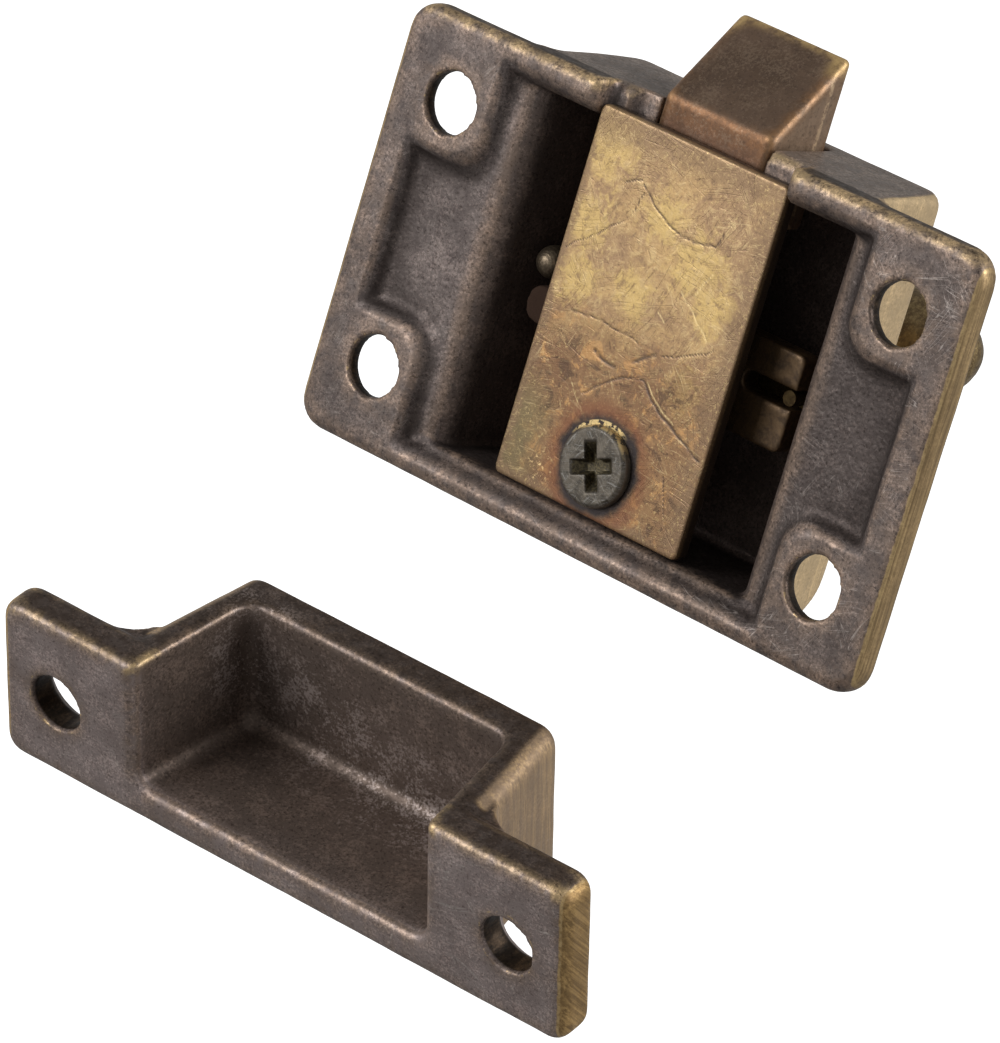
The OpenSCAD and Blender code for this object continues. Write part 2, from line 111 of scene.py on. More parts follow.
class Graph:
    """Adds and links the nodes of one shader tree."""

    def __init__(self, tree: bpy.types.NodeTree) -> None:
        """Starts on an empty tree."""
        self.tree = tree

    def feed(self, target: Socket, value: Value) -> None:
        """Links a socket to an input, or sets the input's own value.

        Args:
            target: the input.
            value: a socket, a number or a vector or colour.
        """
        if isinstance(value, bpy.types.NodeSocket):
            self.tree.links.new(value, target)
        elif not isinstance(value, (int, float)) and target.type == "RGBA" and len(value) == 3:
            target.default_value = (*value, 1.0)
        else:
            target.default_value = value

    def node(self, kind: str, feeds: Optional[dict[Union[int, str], Value]] = None,
             **settings: object) -> bpy.types.Node:
        """Adds one node.

        Args:
            kind: node type without the ShaderNode prefix.
            feeds: values of its inputs, by number or name.
            settings: properties to set on it.

        Returns:
            The new node.
        """
        made = self.tree.nodes.new("ShaderNode" + kind)
        for name, value in settings.items():
            setattr(made, name, value)
        for key, value in (feeds or {}).items():
            self.feed(made.inputs[key], value)
        return made

    def math(self, operation: str, a: Value, b: Value = 0.0) -> Socket:
        """Result of a Math node."""
        return self.node("Math", {0: a, 1: b}, operation=operation).outputs[0]

    def times(self, *values: Value) -> Value:
        """Product of some values."""
        return reduce(partial(self.math, "MULTIPLY"), values)

    def most(self, *values: Value) -> Value:
        """Largest of some values."""
        return reduce(partial(self.math, "MAXIMUM"), values)

    def plus(self, a: Value, b: Value) -> Socket:
        """Sum of two values."""
        return self.math("ADD", a, b)

    def less(self, a: Value, b: Value) -> Socket:
        """First value less the second."""
        return self.math("SUBTRACT", a, b)

    def away(self, value: Value, middle: float = 0.0) -> Socket:
        """Distance of a value from a middle one."""
        return self.math("ABSOLUTE", self.less(value, middle) if middle else value)

    def vector(self, operation: str, a: Value, b: Value = (0.0, 0.0, 0.0)) -> Sockets:
        """Vector and value of a Vector Math node, whose second input is the scale of a scaling."""
        second = "Scale" if operation == "SCALE" else 1
        return self.node("VectorMath", {0: a, second: b}, operation=operation).outputs

    def spin(self, place: Value, axis: str, angle: Value) -> Socket:
        """Vector turned about one axis by an angle in radians."""
        return self.node("VectorRotate", {"Vector": place, "Angle": angle}, rotation_type=axis).outputs[0]

    def noise(self, place: Value, scale: Value, detail: float = 3.0, rough: float = 0.55,
              twist: float = 0.0) -> Socket:
        """Noise with its features per millimetre, octaves, weight of the fine ones and distortion."""
        feeds = {"Vector": place, "Scale": scale, "Detail": detail, "Roughness": rough, "Distortion": twist}
        return self.node("TexNoise", feeds).outputs["Fac"]

    def sway(self, place: Value, size: float, *settings: float) -> Value:
        """Noise about zero with a given size and the settings of the noise."""
        return self.times(self.less(self.noise(place, *settings), 0.5), size)

    def cells(self, place: Value, scale: float) -> Socket:
        """Distance to the nearest point of a Voronoi texture with its cells per millimetre."""
        return self.node("TexVoronoi", {"Vector": place, "Scale": scale}, feature="F1").outputs["Distance"]

    def span(self, value: Value, low: Value, high: Value, to_low: float = 0.0, to_high: float = 1.0) -> Socket:
        """Maps the range from low to high onto another one with a soft start and end."""
        feeds = {0: value, 1: low, 2: high, 3: to_low, 4: to_high}
        return self.node("MapRange", feeds, interpolation_type="SMOOTHSTEP").outputs[0]

    def fade(self, value: Value, low: Value, high: Value, top: float = 1.0) -> Socket:
        """Falls softly from a top value to 0 over a range."""
        return self.span(value, low, high, top, 0.0)

    def blend(self, factor: Value, a: Value, b: Value, mode: str = "MIX") -> Socket:
        """Mixes two colours, by the share of the second one."""
        feeds = {0: factor, 6: a, 7: b}
        return self.node("Mix", feeds, data_type="RGBA", blend_type=mode, clamp_factor=True).outputs[2]

    def parts(self, place: Value) -> tuple[Socket, Socket, Socket]:
        """Three values of a vector."""
        return tuple(self.node("SeparateXYZ", {0: place}).outputs)

    def join(self, x: Value, y: Value, z: Value) -> Socket:
        """Vector of three values."""
        return self.node("CombineXYZ", {0: x, 1: y, 2: z}).outputs[0]

    def reach(self, x: Value, z: Value) -> Socket:
        """Length of a flat vector."""
        return self.vector("LENGTH", self.join(x, 0.0, z))["Value"]

    def stretch(self, place: Value, x: float, y: float, z: float) -> Socket:
        """Scales a vector by three factors."""
        return self.vector("MULTIPLY", place, (x, y, z))[0]

    def attribute(self, name: str) -> Socket:
        """Value of an attribute of the mesh."""
        return self.node("Attribute", attribute_name=name).outputs["Fac"]

    def group(self, tree: bpy.types.NodeTree, **inputs: Value) -> Sockets:
        """Outputs of a node group, whose inputs are given by name with _ for a space."""
        feeds = {name.replace("_", " "): value for name, value in inputs.items()}
        return self.node("Group", feeds, node_tree=tree).outputs


class Effects:
    """Shader groups that several finishes share, each built once."""

    scratch_sets = ((24.0, 2.2, 0.0), (-38.0, 1.9, 7.0), (71.0, 2.4, 13.0), (-80.0, 1.6, 21.0))

    def __init__(self) -> None:
        """Builds every group."""
        self.local = self._local()
        self.wear_sheen_and_shade = self._wear_sheen_and_shade()
        self.grain = self._grain()
        self.brushing = self._brushing()
        self.scratches = self._scratches()

    @staticmethod
    def _start(name: str, outputs: Sequence[str], kind: str = "Float",
               **inputs: Value) -> tuple[Graph, Sockets, Sockets]:
        """Makes an empty group with its sockets.

        Args:
            name: name of the group.
            outputs: names of its outputs.
            kind: socket kind of the outputs.
            inputs: start values of its inputs by name, with _ for a space.

        Returns:
            The graph, what comes in and what goes out.
        """
        tree = bpy.data.node_groups.new(name, "ShaderNodeTree")
        for label, start in inputs.items():
            shape = "Float" if isinstance(start, float) else "Vector"
            made = tree.interface.new_socket(
                label.replace("_", " "), in_out="INPUT", socket_type="NodeSocket" + shape)
            made.default_value = start
        for label in outputs:
            tree.interface.new_socket(label, in_out="OUTPUT", socket_type="NodeSocket" + kind)
        return Graph(tree), tree.nodes.new("NodeGroupInput").outputs, tree.nodes.new("NodeGroupOutput").inputs

    def _local(self) -> bpy.types.NodeTree:
        """Coordinates and normal in a piece's own frame, in millimetres.

        Returns:
            The group.
        """
        g, given, out = self._start(
            "local_frame", ("Place", "Normal"), "Vector", Origin=(0.0, 0.0, 0.0), Axis_X=(1.0, 0.0, 0.0),
            Axis_Y=(0.0, 1.0, 0.0), Axis_Z=(0.0, 0.0, 1.0))
        spot = g.node("TexCoord").outputs
        moved = g.vector("SUBTRACT", spot["Object"], given["Origin"])[0]
        place, turned = (
            g.join(*[g.vector("DOT_PRODUCT", item, given[f"Axis {k}"])["Value"] for k in "XYZ"])
            for item in (moved, spot["Normal"]))
        g.feed(out["Place"], g.vector("SCALE", place, MM)[0])
        g.feed(out["Normal"], turned)
        return g.tree

    def _wear_sheen_and_shade(self) -> bpy.types.NodeTree:
        """Rubbed edges, broad ridges lighter as rubbed metal with a painted sheen, and concave places darker as
        dirt with painted shade, from the ridge attributes of a casting.

        Returns:
            The group.
        """
        g, given, out = self._start("edge_wear_sheen_and_shade", ("Wear", "Sheen", "DirtAndShade"), Place=(0.0, 0.0, 0.0), Breakup=1.0)
        fine, broad = (g.attribute(ridge.value[0]) for ridge in (Ridge.FINE, Ridge.BROAD))
        kept = g.span(g.noise(given["Place"], given["Breakup"], 5.0, 0.65), 0.34, 0.6, 0.15, 1.0)
        g.feed(out["Wear"], g.times(g.span(fine, 0.035, 0.13), kept))
        # Sheen: broad ridges, partly rubbed metal and partly a painted highlight.
        g.feed(out["Sheen"], g.times(g.span(broad, 0.04, 0.32), kept))
        # Concave places: partly dirt, partly painted shade.
        g.feed(out["DirtAndShade"], g.fade(broad, -0.26, -0.02))
        return g.tree

    def _grain(self) -> bpy.types.NodeTree:
        """Pebbled casting skin with pits and pale specks.

        Returns:
            The group.
        """
        g, given, out = self._start("cast_grain", ("Height", "Speck", "Pit", "Cloud", "Mottle"),
                                    Place=(0.0, 0.0, 0.0))
        place = given["Place"]
        pebbles = g.times(g.noise(place, 2.4, 5.0, 0.7), 0.8)
        g.feed(out["Height"], g.less(pebbles, g.times(g.cells(place, 2.6), 0.55)))
        speck = g.plus(g.noise(place, 4.2, 4.0, 0.75), g.times(g.noise(place, 0.42, 3.0, 0.6), 0.5))
        g.feed(out["Speck"], g.span(speck, 0.74, 0.88))
        g.feed(out["Pit"], g.fade(g.noise(place, 3.4, 4.0, 0.75), 0.33, 0.49))
        g.feed(out["Cloud"], g.span(g.noise(place, 0.17, 4.0, 0.62, 0.4), 0.34, 0.66))
        g.feed(out["Mottle"], g.span(g.noise(place, 1.15, 4.0, 0.66, 0.3), 0.34, 0.66))
        return g.tree

    def _brushing(self) -> bpy.types.NodeTree:
        """Streaks of a brushed face that run along X of the given frame.

        Returns:
            The group.
        """
        g, given, out = self._start("brushed_streaks", ("Streak", "Band"), Place=(0.0, 0.0, 0.0))
        streak = g.noise(g.stretch(given["Place"], 0.11, 5.2, 5.2), 1.0, 4.0, 0.66, 0.25)
        band = g.noise(g.stretch(given["Place"], 0.06, 0.8, 0.8), 1.0, 4.0, 0.6, 0.3)
        g.feed(out["Streak"], g.span(streak, 0.34, 0.66))
        g.feed(out["Band"], g.span(band, 0.32, 0.66))
        return g.tree

    def _scratches(self) -> bpy.types.NodeTree:
        """Thin scratches in several directions, bent and broken off.

        Returns:
            The group.
        """
        g, given, out = self._start("fine_scratches", ("Mask",), Place=(0.0, 0.0, 0.0), Width=0.012, Cover=0.55)
        place, cover = given["Place"], given["Cover"]
        cover_end = g.plus(cover, 0.08)
        lines = []
        for turn, density, shift in self.scratch_sets:
            bow = g.times(g.noise(place, 0.16, 1.0, 0.4), 2.0)
            spun = g.spin(place, "Y_AXIS", math.radians(turn))
            bent = g.vector("ADD", spun, g.join(shift, shift, bow))[0]
            line = g.noise(g.stretch(bent, 0.1, 0.3, density), 1.0, 1.0, 0.4)
            thin = g.fade(g.away(line, 0.5), 0.0, given["Width"])
            lines.append(g.times(thin, g.span(g.noise(bent, 0.27, 2.0), cover, cover_end)))
        g.feed(out["Mask"], g.most(*lines))
        return g.tree


@dataclass(frozen=True)
class Axes:
    """A piece's own frame in the row frame."""

    origin: Triple = (0.0, 0.0, 0.0)
    x: Triple = (1.0, 0.0, 0.0)
    y: Triple = (0.0, 1.0, 0.0)
    z: Triple = (0.0, 0.0, 1.0)

    def matrix(self) -> Matrix:
        """Matrix from this frame to the row frame."""
        turned = Matrix((self.x, self.y, self.z)).transposed().to_4x4()
        return Matrix.Translation(self.origin) @ turned


@dataclass(frozen=True)
class Fillet:
    """A concave fillet on both sides of a piece, in the corner between a tab and a leaning wall, in metres."""

    y: float
    z: float
    radius: float
    half: float
    lean: float
    filled: float = 0.7
    into_tab: float = 0.0005
    into_wall: float = 0.0006

    def add(self, piece: bpy.types.Object) -> None:
        """Joins the fillet to a piece in its own frame.

        Args:
            piece: the piece.
        """
        reach = self.radius / math.tan(math.radians(90.0 + self.lean) / 2.0)
        deep, wide = self.filled * reach + self.into_tab, self.filled * reach + self.into_wall
        for side in (-1.0, 1.0):
            bpy.ops.object.select_all(action="DESELECT")
            middle = (0.0, self.y + self.into_tab - deep / 2.0, side * (self.z - self.into_wall + wide / 2.0))
            bpy.ops.mesh.primitive_cube_add(size=1.0, location=middle, scale=(2.0 * self.half, deep, wide))
            block = bpy.context.object
            bpy.ops.mesh.primitive_cylinder_add(
                vertices=96, radius=self.radius, depth=4.0 * self.half, rotation=(0.0, math.pi / 2.0, 0.0),
                location=(0.0, self.y - self.radius, side * (self.z + reach)))
            round_cut = bpy.context.object
            cut = block.modifiers.new("cut", "BOOLEAN")
            cut.operation, cut.object = "DIFFERENCE", round_cut
            bpy.context.view_layer.objects.active = block
            bpy.ops.object.modifier_apply(modifier=cut.name)
            bpy.data.objects.remove(round_cut)
            block.select_set(True)
            piece.select_set(True)
            bpy.context.view_layer.objects.active = piece
            bpy.ops.object.join()
        LOG.info("filled the tab corners of %s", piece.name)


@dataclass(frozen=True)
class Casting:
    """A softened copy of a CAD node, with the rounded edges and slight waves of a casting."""

    node: str
    name: str
    body: str
    slot: Slot
    voxel: float
    passes: int
    waves: float = 0.0
    axes: Axes = Axes()
    fillet: Optional[Fillet] = None
    wave_size: float = 0.0035

    def model(self, material: bpy.types.Material) -> bpy.types.Object:
        """Builds the piece in place of its node.

        Args:
            material: its finish.

        Returns:
            The piece.
        """
        piece = merged_copy(self.node, self.name)
        piece.matrix_world = self.axes.matrix().inverted()
        bpy.ops.object.transform_apply(location=True, rotation=True, scale=True)
        if self.fillet:
            self.fillet.add(piece)
        skin = piece.modifiers.new("skin", "REMESH")
        skin.mode, skin.voxel_size, skin.use_smooth_shade = "VOXEL", self.voxel, True
        soft = piece.modifiers.new("soft", "SMOOTH")
        soft.factor, soft.iterations = 0.5, self.passes
        if self.waves:
            cloud = bpy.data.textures.new(self.name + "_waves", "CLOUDS")
            cloud.noise_scale, cloud.noise_depth = self.wave_size, 2
            lumpy = piece.modifiers.new("waves", "DISPLACE")
            lumpy.texture, lumpy.strength, lumpy.mid_level = cloud, self.waves, 0.5
        for held in list(piece.modifiers):
            bpy.ops.object.modifier_apply(modifier=held.name)
        mark_ridges(piece.data)
        piece.matrix_world = self.axes.matrix()
        bpy.ops.object.transform_apply(location=True, rotation=True, scale=True)
        bpy.ops.object.shade_smooth()
        hand_over(piece, self.node, self.body, material)
        return piece


def merged_copy(node: str, name: str) -> bpy.types.Object:
    """Copies a CAD node as a free piece with its loose triangles joined.

    Args:
        node: name of the node.
        name: name of the copy.

    Returns:
        The copy, selected and active.
    """
    bpy.ops.object.select_all(action="DESELECT")
    source = frame["nodes"][node]
    source.select_set(True)
    bpy.context.view_layer.objects.active = source
    bpy.ops.object.duplicate()
    piece = bpy.context.object
    piece.name = name
    del piece["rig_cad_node"]
    bpy.ops.object.parent_clear(type="CLEAR_KEEP_TRANSFORM")
    bpy.ops.object.mode_set(mode="EDIT")
    bpy.ops.mesh.select_all(action="SELECT")
    bpy.ops.mesh.remove_doubles(threshold=0.000002)
    bpy.ops.object.mode_set(mode="OBJECT")
    return piece


def points_of(mesh: bpy.types.Mesh, what: str) -> np.ndarray:
    """Reads a vector of every vertex.

    Args:
        mesh: the mesh.
        what: name of the vector.

    Returns:
        One row per vertex.
    """
    values = np.empty(len(mesh.vertices) * 3)
    mesh.vertices.foreach_get(what, values)
    return values.reshape(-1, 3)


def store(mesh: bpy.types.Mesh, name: str, values: np.ndarray) -> None:
    """Keeps one value per vertex as an attribute."""
    mesh.attributes.new(name, "FLOAT", "POINT").data.foreach_set("value", values.astype(np.float32))


def mark_ridges(mesh: bpy.types.Mesh) -> None:
    """Stores how far each point stands out of its surroundings, in millimetres, at each scale.

    Args:
        mesh: the mesh that gets the attributes.
    """
    count = len(mesh.vertices)
    spots, normals = points_of(mesh, "co") * MM, points_of(mesh, "normal")
    ends = np.empty(len(mesh.edges) * 2, dtype=np.int64)
    mesh.edges.foreach_get("vertices", ends)
    first, second = ends.reshape(-1, 2).T
    here, there = np.concatenate((first, second)), np.concatenate((second, first))
    links = np.bincount(here, minlength=count)[:, None]
    soft, done = spots.copy(), 0
    for ridge in Ridge:
        name, rounds = ridge.value
        for _ in range(done, rounds):
            soft = np.stack([np.bincount(here, weights=soft[there, k], minlength=count) for k in range(3)],
                            axis=1) / links
        done = rounds
        store(mesh, name, ((spots - soft) * normals).sum(axis=1))


def hand_over(piece: bpy.types.Object, node: str, body: str, material: bpy.types.Material) -> None:
    """Dresses a new piece and lets it stand for its node.

    Args:
        piece: the piece.
        node: the node it replaces.
        body: the body it moves with.
        material: its finish.
    """
    piece.data.materials.clear()
    piece.data.materials.append(material)
    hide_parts(node)
    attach(piece, body)
    LOG.info("made %s with %d faces, dressed with %s", piece.name, len(piece.data.polygons), material.name)


class Paint(Graph):
    """Graph of a finish with its colour so far and the shaded point, in millimetres of its piece's own frame.

    X is the height, Y points out of the back and Z runs along the length.
    """

    def __init__(self, tree: bpy.types.NodeTree, local: bpy.types.NodeTree, axes: Axes) -> None:
        """Starts on an empty tree.

        Args:
            tree: tree of the material.
            local: group that gives the point in a piece's frame.
            axes: frame of the piece.
        """
        super().__init__(tree)
        here = self.group(local, Origin=axes.origin, Axis_X=axes.x, Axis_Y=axes.y, Axis_Z=axes.z)
        self.place = here["Place"]
        self.x, self.y, self.z = self.parts(self.place)
        self.face = self.parts(here["Normal"])
        self.colour: Value = (0.0, 0.0, 0.0)

    def effect(self, tree: bpy.types.NodeTree, **inputs: Value) -> Sockets:
        """Outputs of a shared group at the shaded point."""
        return self.group(tree, Place=self.place, **inputs)

    def coat(self, tone: Value, *shares: Value) -> None:
        """Lays a tone over the colour so far, as far as the product of the shares says."""
        self.colour = self.blend(self.times(*shares), self.colour, tone)


class Finish:
    """Base of the finishes: starts a material, lets the finish lay its colours and closes it with a shader."""

    name = "finish"
    axes = Axes()
    metallic = 0.6
    specular = 0.5
    bump_depth = 0.00003
    bump_strength = 0.4

    def __init__(self, effects: Effects) -> None:
        """Keeps the shared groups."""
        self.effects = effects

    def lay(self, k: Paint) -> tuple[Value, Value]:
        """Lays the colours, and gives the roughness and the height of the bump."""
        raise NotImplementedError

    def build(self) -> bpy.types.Material:
        """Builds the material.

        Returns:
            The material.
        """
        made = bpy.data.materials.new(self.name)
        made.use_nodes = True
        made.node_tree.nodes.clear()
        k = Paint(made.node_tree, self.effects.local, self.axes)
        rough, height = self.lay(k)
        bump = k.node("Bump", {"Strength": self.bump_strength, "Distance": self.bump_depth, "Height": height})
        shader = k.node("BsdfPrincipled", {
            "Base Color": k.colour, "Roughness": rough, "Metallic": self.metallic,
            "Specular IOR Level": self.specular, "Normal": bump.outputs[0]})
        k.node("OutputMaterial", {"Surface": shader.outputs[0]})
        return made


@dataclass(frozen=True)
class PatinaTones:
    """Colours of the dark cast patina. The pit and speck shares multiply the colour below them."""

    dark: Colour = (0.079, 0.063, 0.059)
    mid: Colour = (0.130, 0.105, 0.097)
    pale: Colour = (0.242, 0.204, 0.185)
    # pit: dark of pits, also used for dirt with painted shade in corners and painted shade on pocket walls.
    pit: Colour = (0.036, 0.027, 0.024)
    # rubbed: rubbed metal of the rims, also the painted sheen on ridges and the painted highlight on the
    # hollow's lip.
    rubbed: Colour = (0.245, 0.176, 0.133)
    gold: Colour = (0.50, 0.36, 0.18)
    scratch: Colour = (0.34, 0.30, 0.275)
    # Painted shade deep in the hollow.
    hollow_shade: Colour = (0.12, 0.090, 0.077)
    # satin and edge: tones of the faces that look up; the dark edge is painted shade.
    satin: Colour = (0.205, 0.170, 0.145)
    edge: Colour = (0.038, 0.029, 0.021)
    brushed_low: Colour = (0.19, 0.130, 0.068)
    brushed_high: Colour = (0.66, 0.465, 0.230)
    bare: Colour = (0.86, 0.66, 0.40)
    bore_dark: Colour = (0.018, 0.012, 0.008)
    bore_pale: Colour = (0.055, 0.036, 0.022)
    pit_share: Colour = (0.34, 0.31, 0.29)
    speck_share: Colour = (1.80, 1.77, 1.74)


@dataclass(frozen=True)
class PatinaPlaces:
    """Places on a cast piece, in millimetres of its own frame, and the strength of some effects there."""

    hole_x: float
    hole_z: float
    hole_r: float
    hollow_low: float
    hollow_high: float
    hollow_half: float
    hollow_y: float
    hollow_end: float
    gloom: float
    rough_x: float
    rough_half: float
    rough_y: float
    end_z: float
    wall_z: float
    wall_y: float
    head_x: float
    edge_y: float
    slant: float
    coarse: float
    dim: float
    bare: float
    seam: Optional[tuple[Triple, Triple]] = None


class CastPatina(Finish):
    """Dark antique patina of the case and the strike, rubbed on the rims and brushed on ends and front."""

    metallic = 0.55
    specular = 0.22
    bump_depth = 0.00008
    bump_strength = 0.6
    gloom_steps = ((0.05, 0.5), (0.6, 3.5))
    gloom_share = 0.75

    def __init__(self, effects: Effects, name: str, axes: Axes, places: PatinaPlaces,
                 tones: PatinaTones) -> None:
        """Keeps the frame of the piece and its places.

        Args:
            effects: the shared groups.
            name: name of the material.
            axes: frame of the piece.
            places: where its holes, hollow, ends and walls are.
            tones: its colours.
        """
        super().__init__(effects)
        self.name, self.axes, self.places, self.tones = name, axes, places, tones

    def lay(self, k: Paint) -> tuple[Value, Value]:
        """Lays the skin, the brushed ends, the rims, the holes and the hollow.

        Args:
            k: paint of the material.

        Returns:
            The roughness and the height of the bump.
        """
        t, p = self.tones, self.places
        wear_sheen_and_shade = k.effect(self.effects.wear_sheen_and_shade, Breakup=0.85)
        grain = k.effect(self.effects.grain)
        mottle, zone, ends = grain["Mottle"], self._rough_zone(k), self._brushed_zone(k)
        coarse = k.times(zone, k.span(k.z, -6.0, 8.0, 0.4 * p.coarse, p.coarse))
        self._skin(k, grain, zone)
        # Broad ridges lighter: rubbed metal with a painted sheen.
        k.coat(t.rubbed, wear_sheen_and_shade["Sheen"], 0.5)
        self._top(k, mottle)
        k.coat(self._brushed(k), ends)
        self._rims(k, k.times(wear_sheen_and_shade["Wear"], k.less(1.0, ends)), mottle)
        # Concave places darker: dirt with painted shade.
        k.coat(t.pit, wear_sheen_and_shade["DirtAndShade"], 0.65)
        self._holes(k)
        self._hollow(k)
        plain = k.less(1.0, k.times(ends, 0.7))
        for name, share, low, high in (("Pit", t.pit_share, 0.8, 0.9), ("Speck", t.speck_share, 0.85, 0.8)):
            mask = k.times(grain[name], plain, k.span(coarse, 0.0, 1.0, low, high))
            k.colour = k.blend(mask, k.colour, share, "MULTIPLY")
        if p.seam:
            k.coat(t.pale, self._seam(k), grain["Speck"], 0.7)
        rough = k.less(k.span(mottle, 0.0, 1.0, 0.54, 0.42), k.times(wear_sheen_and_shade["Wear"], 0.04))
        return rough, k.times(grain["Height"], k.span(coarse, 0.0, 1.0, 0.4, 1.0))

    def _skin(self, k: Paint, grain: Sockets, zone: Value) -> None:
        """Lays the cast skin with clouds, a darker far end along the length, painted shade on the steep pocket
        walls and scratches.

        Args:
            k: paint of the material.
            grain: outputs of the grain group.
            zone: mask of the coarse skin.
        """
        t, dim = self.tones, self.places.dim
        k.colour = k.blend(grain["Cloud"], t.dark, t.mid)
        k.coat(t.pale, grain["Mottle"], 0.22)
        # Darker towards +Z along the length, more in the coarse pockets.
        k.coat(t.pit, k.span(k.z, 0.0, 13.0), k.span(zone, 0.0, 1.0, dim, 2.2 * dim))
        # Painted shade: walls of the coarse pockets that turn away from the back are darkened.
        k.coat(t.pit, k.fade(k.face[1], 0.6, 0.92, 0.5), zone)
        marks = k.effect(self.effects.scratches, Width=0.012, Cover=0.52)["Mask"]
        k.coat(t.scratch, marks, k.span(zone, 0.0, 1.0, 1.0, 0.3), k.span(k.z, -8.0, 10.0, 0.35, 0.75))

    def _rough_zone(self, k: Paint) -> Value:
        """Mask of the coarse skin below the level of the back."""
        p = self.places
        return k.times(k.fade(k.y, p.rough_y - 0.3, p.rough_y + 0.3),
                       k.fade(k.away(k.z), p.rough_half, p.rough_half + 0.8),
                       k.fade(k.away(k.x), p.rough_x, p.rough_x + 0.8))

    def _top(self, k: Paint, mottle: Socket) -> None:
        """Lays a smooth head tone and a dark edge tone on the faces that look up along X; the dark upper edge,
        and on the strike the whole dark upper side, is painted shade.
        """
        p, t = self.places, self.tones
        # Painted shade on the faces that look up.
        k.coat(k.blend(k.span(k.y, p.edge_y - 0.3, p.edge_y + 0.1), t.satin, t.edge),
               k.span(k.face[0], 0.6, 0.9), k.span(mottle, 0.0, 1.0, 0.93, 0.8),
               k.span(k.x, p.head_x - 1.4, p.head_x - 0.7))

    def _rims(self, k: Paint, worn: Value, mottle: Socket) -> None:
        """Rubs the ridges, with gold along the upper edge and at the start of the brushed ends.

        Args:
            k: paint of the material.
            worn: mask of the ridges.
            mottle: slow spots.
        """
        t, head = self.tones, self.places.head_x
        k.coat(t.rubbed, worn, 0.7)
        k.coat(t.gold, worn, k.span(k.x, head - 1.3, head - 0.5), k.span(k.y, -3.2, -2.6), 0.6)
        k.coat(t.gold, k.less(self._end(k), self._end(k, 0.2)), k.span(mottle, 0.0, 1.0, 0.2, 0.8))

    def _seam(self, k: Paint) -> Socket:
        """Mask of the speckled skin along a line in the hollow.

        Args:
            k: paint of the material.

        Returns:
            The mask.
        """
        start, end = (Vector(spot) for spot in self.places.seam)
        off = k.vector("SUBTRACT", k.place, tuple(start))[0]
        across = k.vector("CROSS_PRODUCT", off, tuple((end - start).normalized()))[0]
        far = k.vector("LENGTH", across)["Value"]
        return k.fade(k.plus(far, k.sway(k.place, 10.0, 0.35, 4.0, 0.65)), 0.5, 6.0)

    def _end(self, k: Paint, wide: float = 0.0) -> Socket:
        """Mask of the ends beyond the ragged line where the brushing starts, or a little further out."""
        line = self.places.end_z + wide
        return k.span(k.plus(k.away(k.z), k.sway(k.place, 0.25, 1.2, 3.0, 0.6)), line - 0.06, line + 0.06)

    @staticmethod
    def _outward(k: Paint, low: float) -> Socket:
        """Mask of the faces that look away from the middle of the length."""
        return k.span(k.times(k.face[2], k.math("SIGN", k.z)), low, 0.45)

    def _brushed_zone(self, k: Paint) -> Value:
        """Mask of the brushed outer ends, side walls and front.

        Args:
            k: paint of the material.

        Returns:
            The mask.
        """
        p = self.places
        wall = k.times(self._outward(k, 0.12), k.fade(k.y, p.wall_y - 0.5, p.wall_y),
                       k.fade(k.away(k.z), p.wall_z, p.wall_z + 0.8))
        front = k.times(k.fade(k.face[1], -0.9, -0.55), k.fade(k.y, p.wall_y, p.wall_y + 0.8))
        return k.most(self._end(k), wall, front)

    def _brushed(self, k: Paint) -> Socket:
        """Colour of the brushed metal, paler on the walls.

        Args:
            k: paint of the material.

        Returns:
            The colour.
        """
        t, p = self.tones, self.places
        angle = k.span(k.away(k.z), p.end_z - 3.0, p.end_z - 2.0, 0.0, math.radians(p.slant))
        brush = k.group(self.effects.brushing, Place=k.spin(k.place, "Z_AXIS", angle))
        metal = k.blend(brush["Band"], t.brushed_low, t.brushed_high)
        metal = k.blend(k.times(brush["Streak"], 0.6), t.brushed_low, metal)
        return k.blend(k.fade(k.y, p.wall_y - 0.5, p.wall_y, p.bare), metal, t.bare)

    def _inside(self, k: Paint) -> Value:
        """Mask of everything between the walls of the hollow, without the walls' outer faces.

        Args:
            k: paint of the material.

        Returns:
            The mask.
        """
        p, along = self.places, k.away(k.z)
        outer = k.times(self._outward(k, 0.15), k.span(along, p.hollow_half - 5.0, p.hollow_half - 4.5))
        return k.times(
            k.span(k.y, p.hollow_end - 0.3, p.hollow_end), k.fade(along, p.hollow_half - 0.3, p.hollow_half),
            k.less(1.0, outer), k.span(k.x, p.hollow_low, p.hollow_low + 0.3),
            k.fade(k.x, p.hollow_high - 0.3, p.hollow_high))

    def _hollow(self, k: Paint) -> None:
        """Paints a highlight along the lip of the hollow and painted shade that deepens into it.

        Args:
            k: paint of the material.
        """
        p, inside = self.places, self._inside(k)
        # Painted highlight along the lip of the hollow.
        k.coat(self.tones.rubbed, k.fade(k.away(k.y, p.hollow_y), 0.05, 0.3, 0.45), inside)
        # Painted shade, darker the deeper into the hollow.
        for start, end in self.gloom_steps:
            deep = k.fade(k.y, p.hollow_y - end, p.hollow_y - start, self.gloom_share * p.gloom)
            k.coat(self.tones.hollow_shade, deep, inside)

    def _holes(self, k: Paint) -> None:
        """Lays the dark walls of the screw holes and bright chips on their rims.

        Args:
            k: paint of the material.
        """
        p, t = self.places, self.tones
        ring = k.less(k.reach(k.less(k.away(k.x), p.hole_x), k.less(k.away(k.z), p.hole_z)), p.hole_r)
        streak = k.noise(k.stretch(k.place, 2.0, 0.5, 2.0), 1.0, 3.0, 0.6)
        bore = k.blend(k.span(streak, 0.4, 0.7), t.bore_dark, t.bore_pale)
        k.coat(bore, k.fade(ring, 0.1, 0.35), k.fade(k.y, -0.5, -0.2))
        ragged = k.span(k.noise(k.place, 1.3, 4.0, 0.7), 0.54, 0.6)
        k.coat(t.gold, k.fade(k.away(ring, 0.14), 0.02, 0.1), k.span(k.y, -0.75, -0.45), ragged, 0.6)


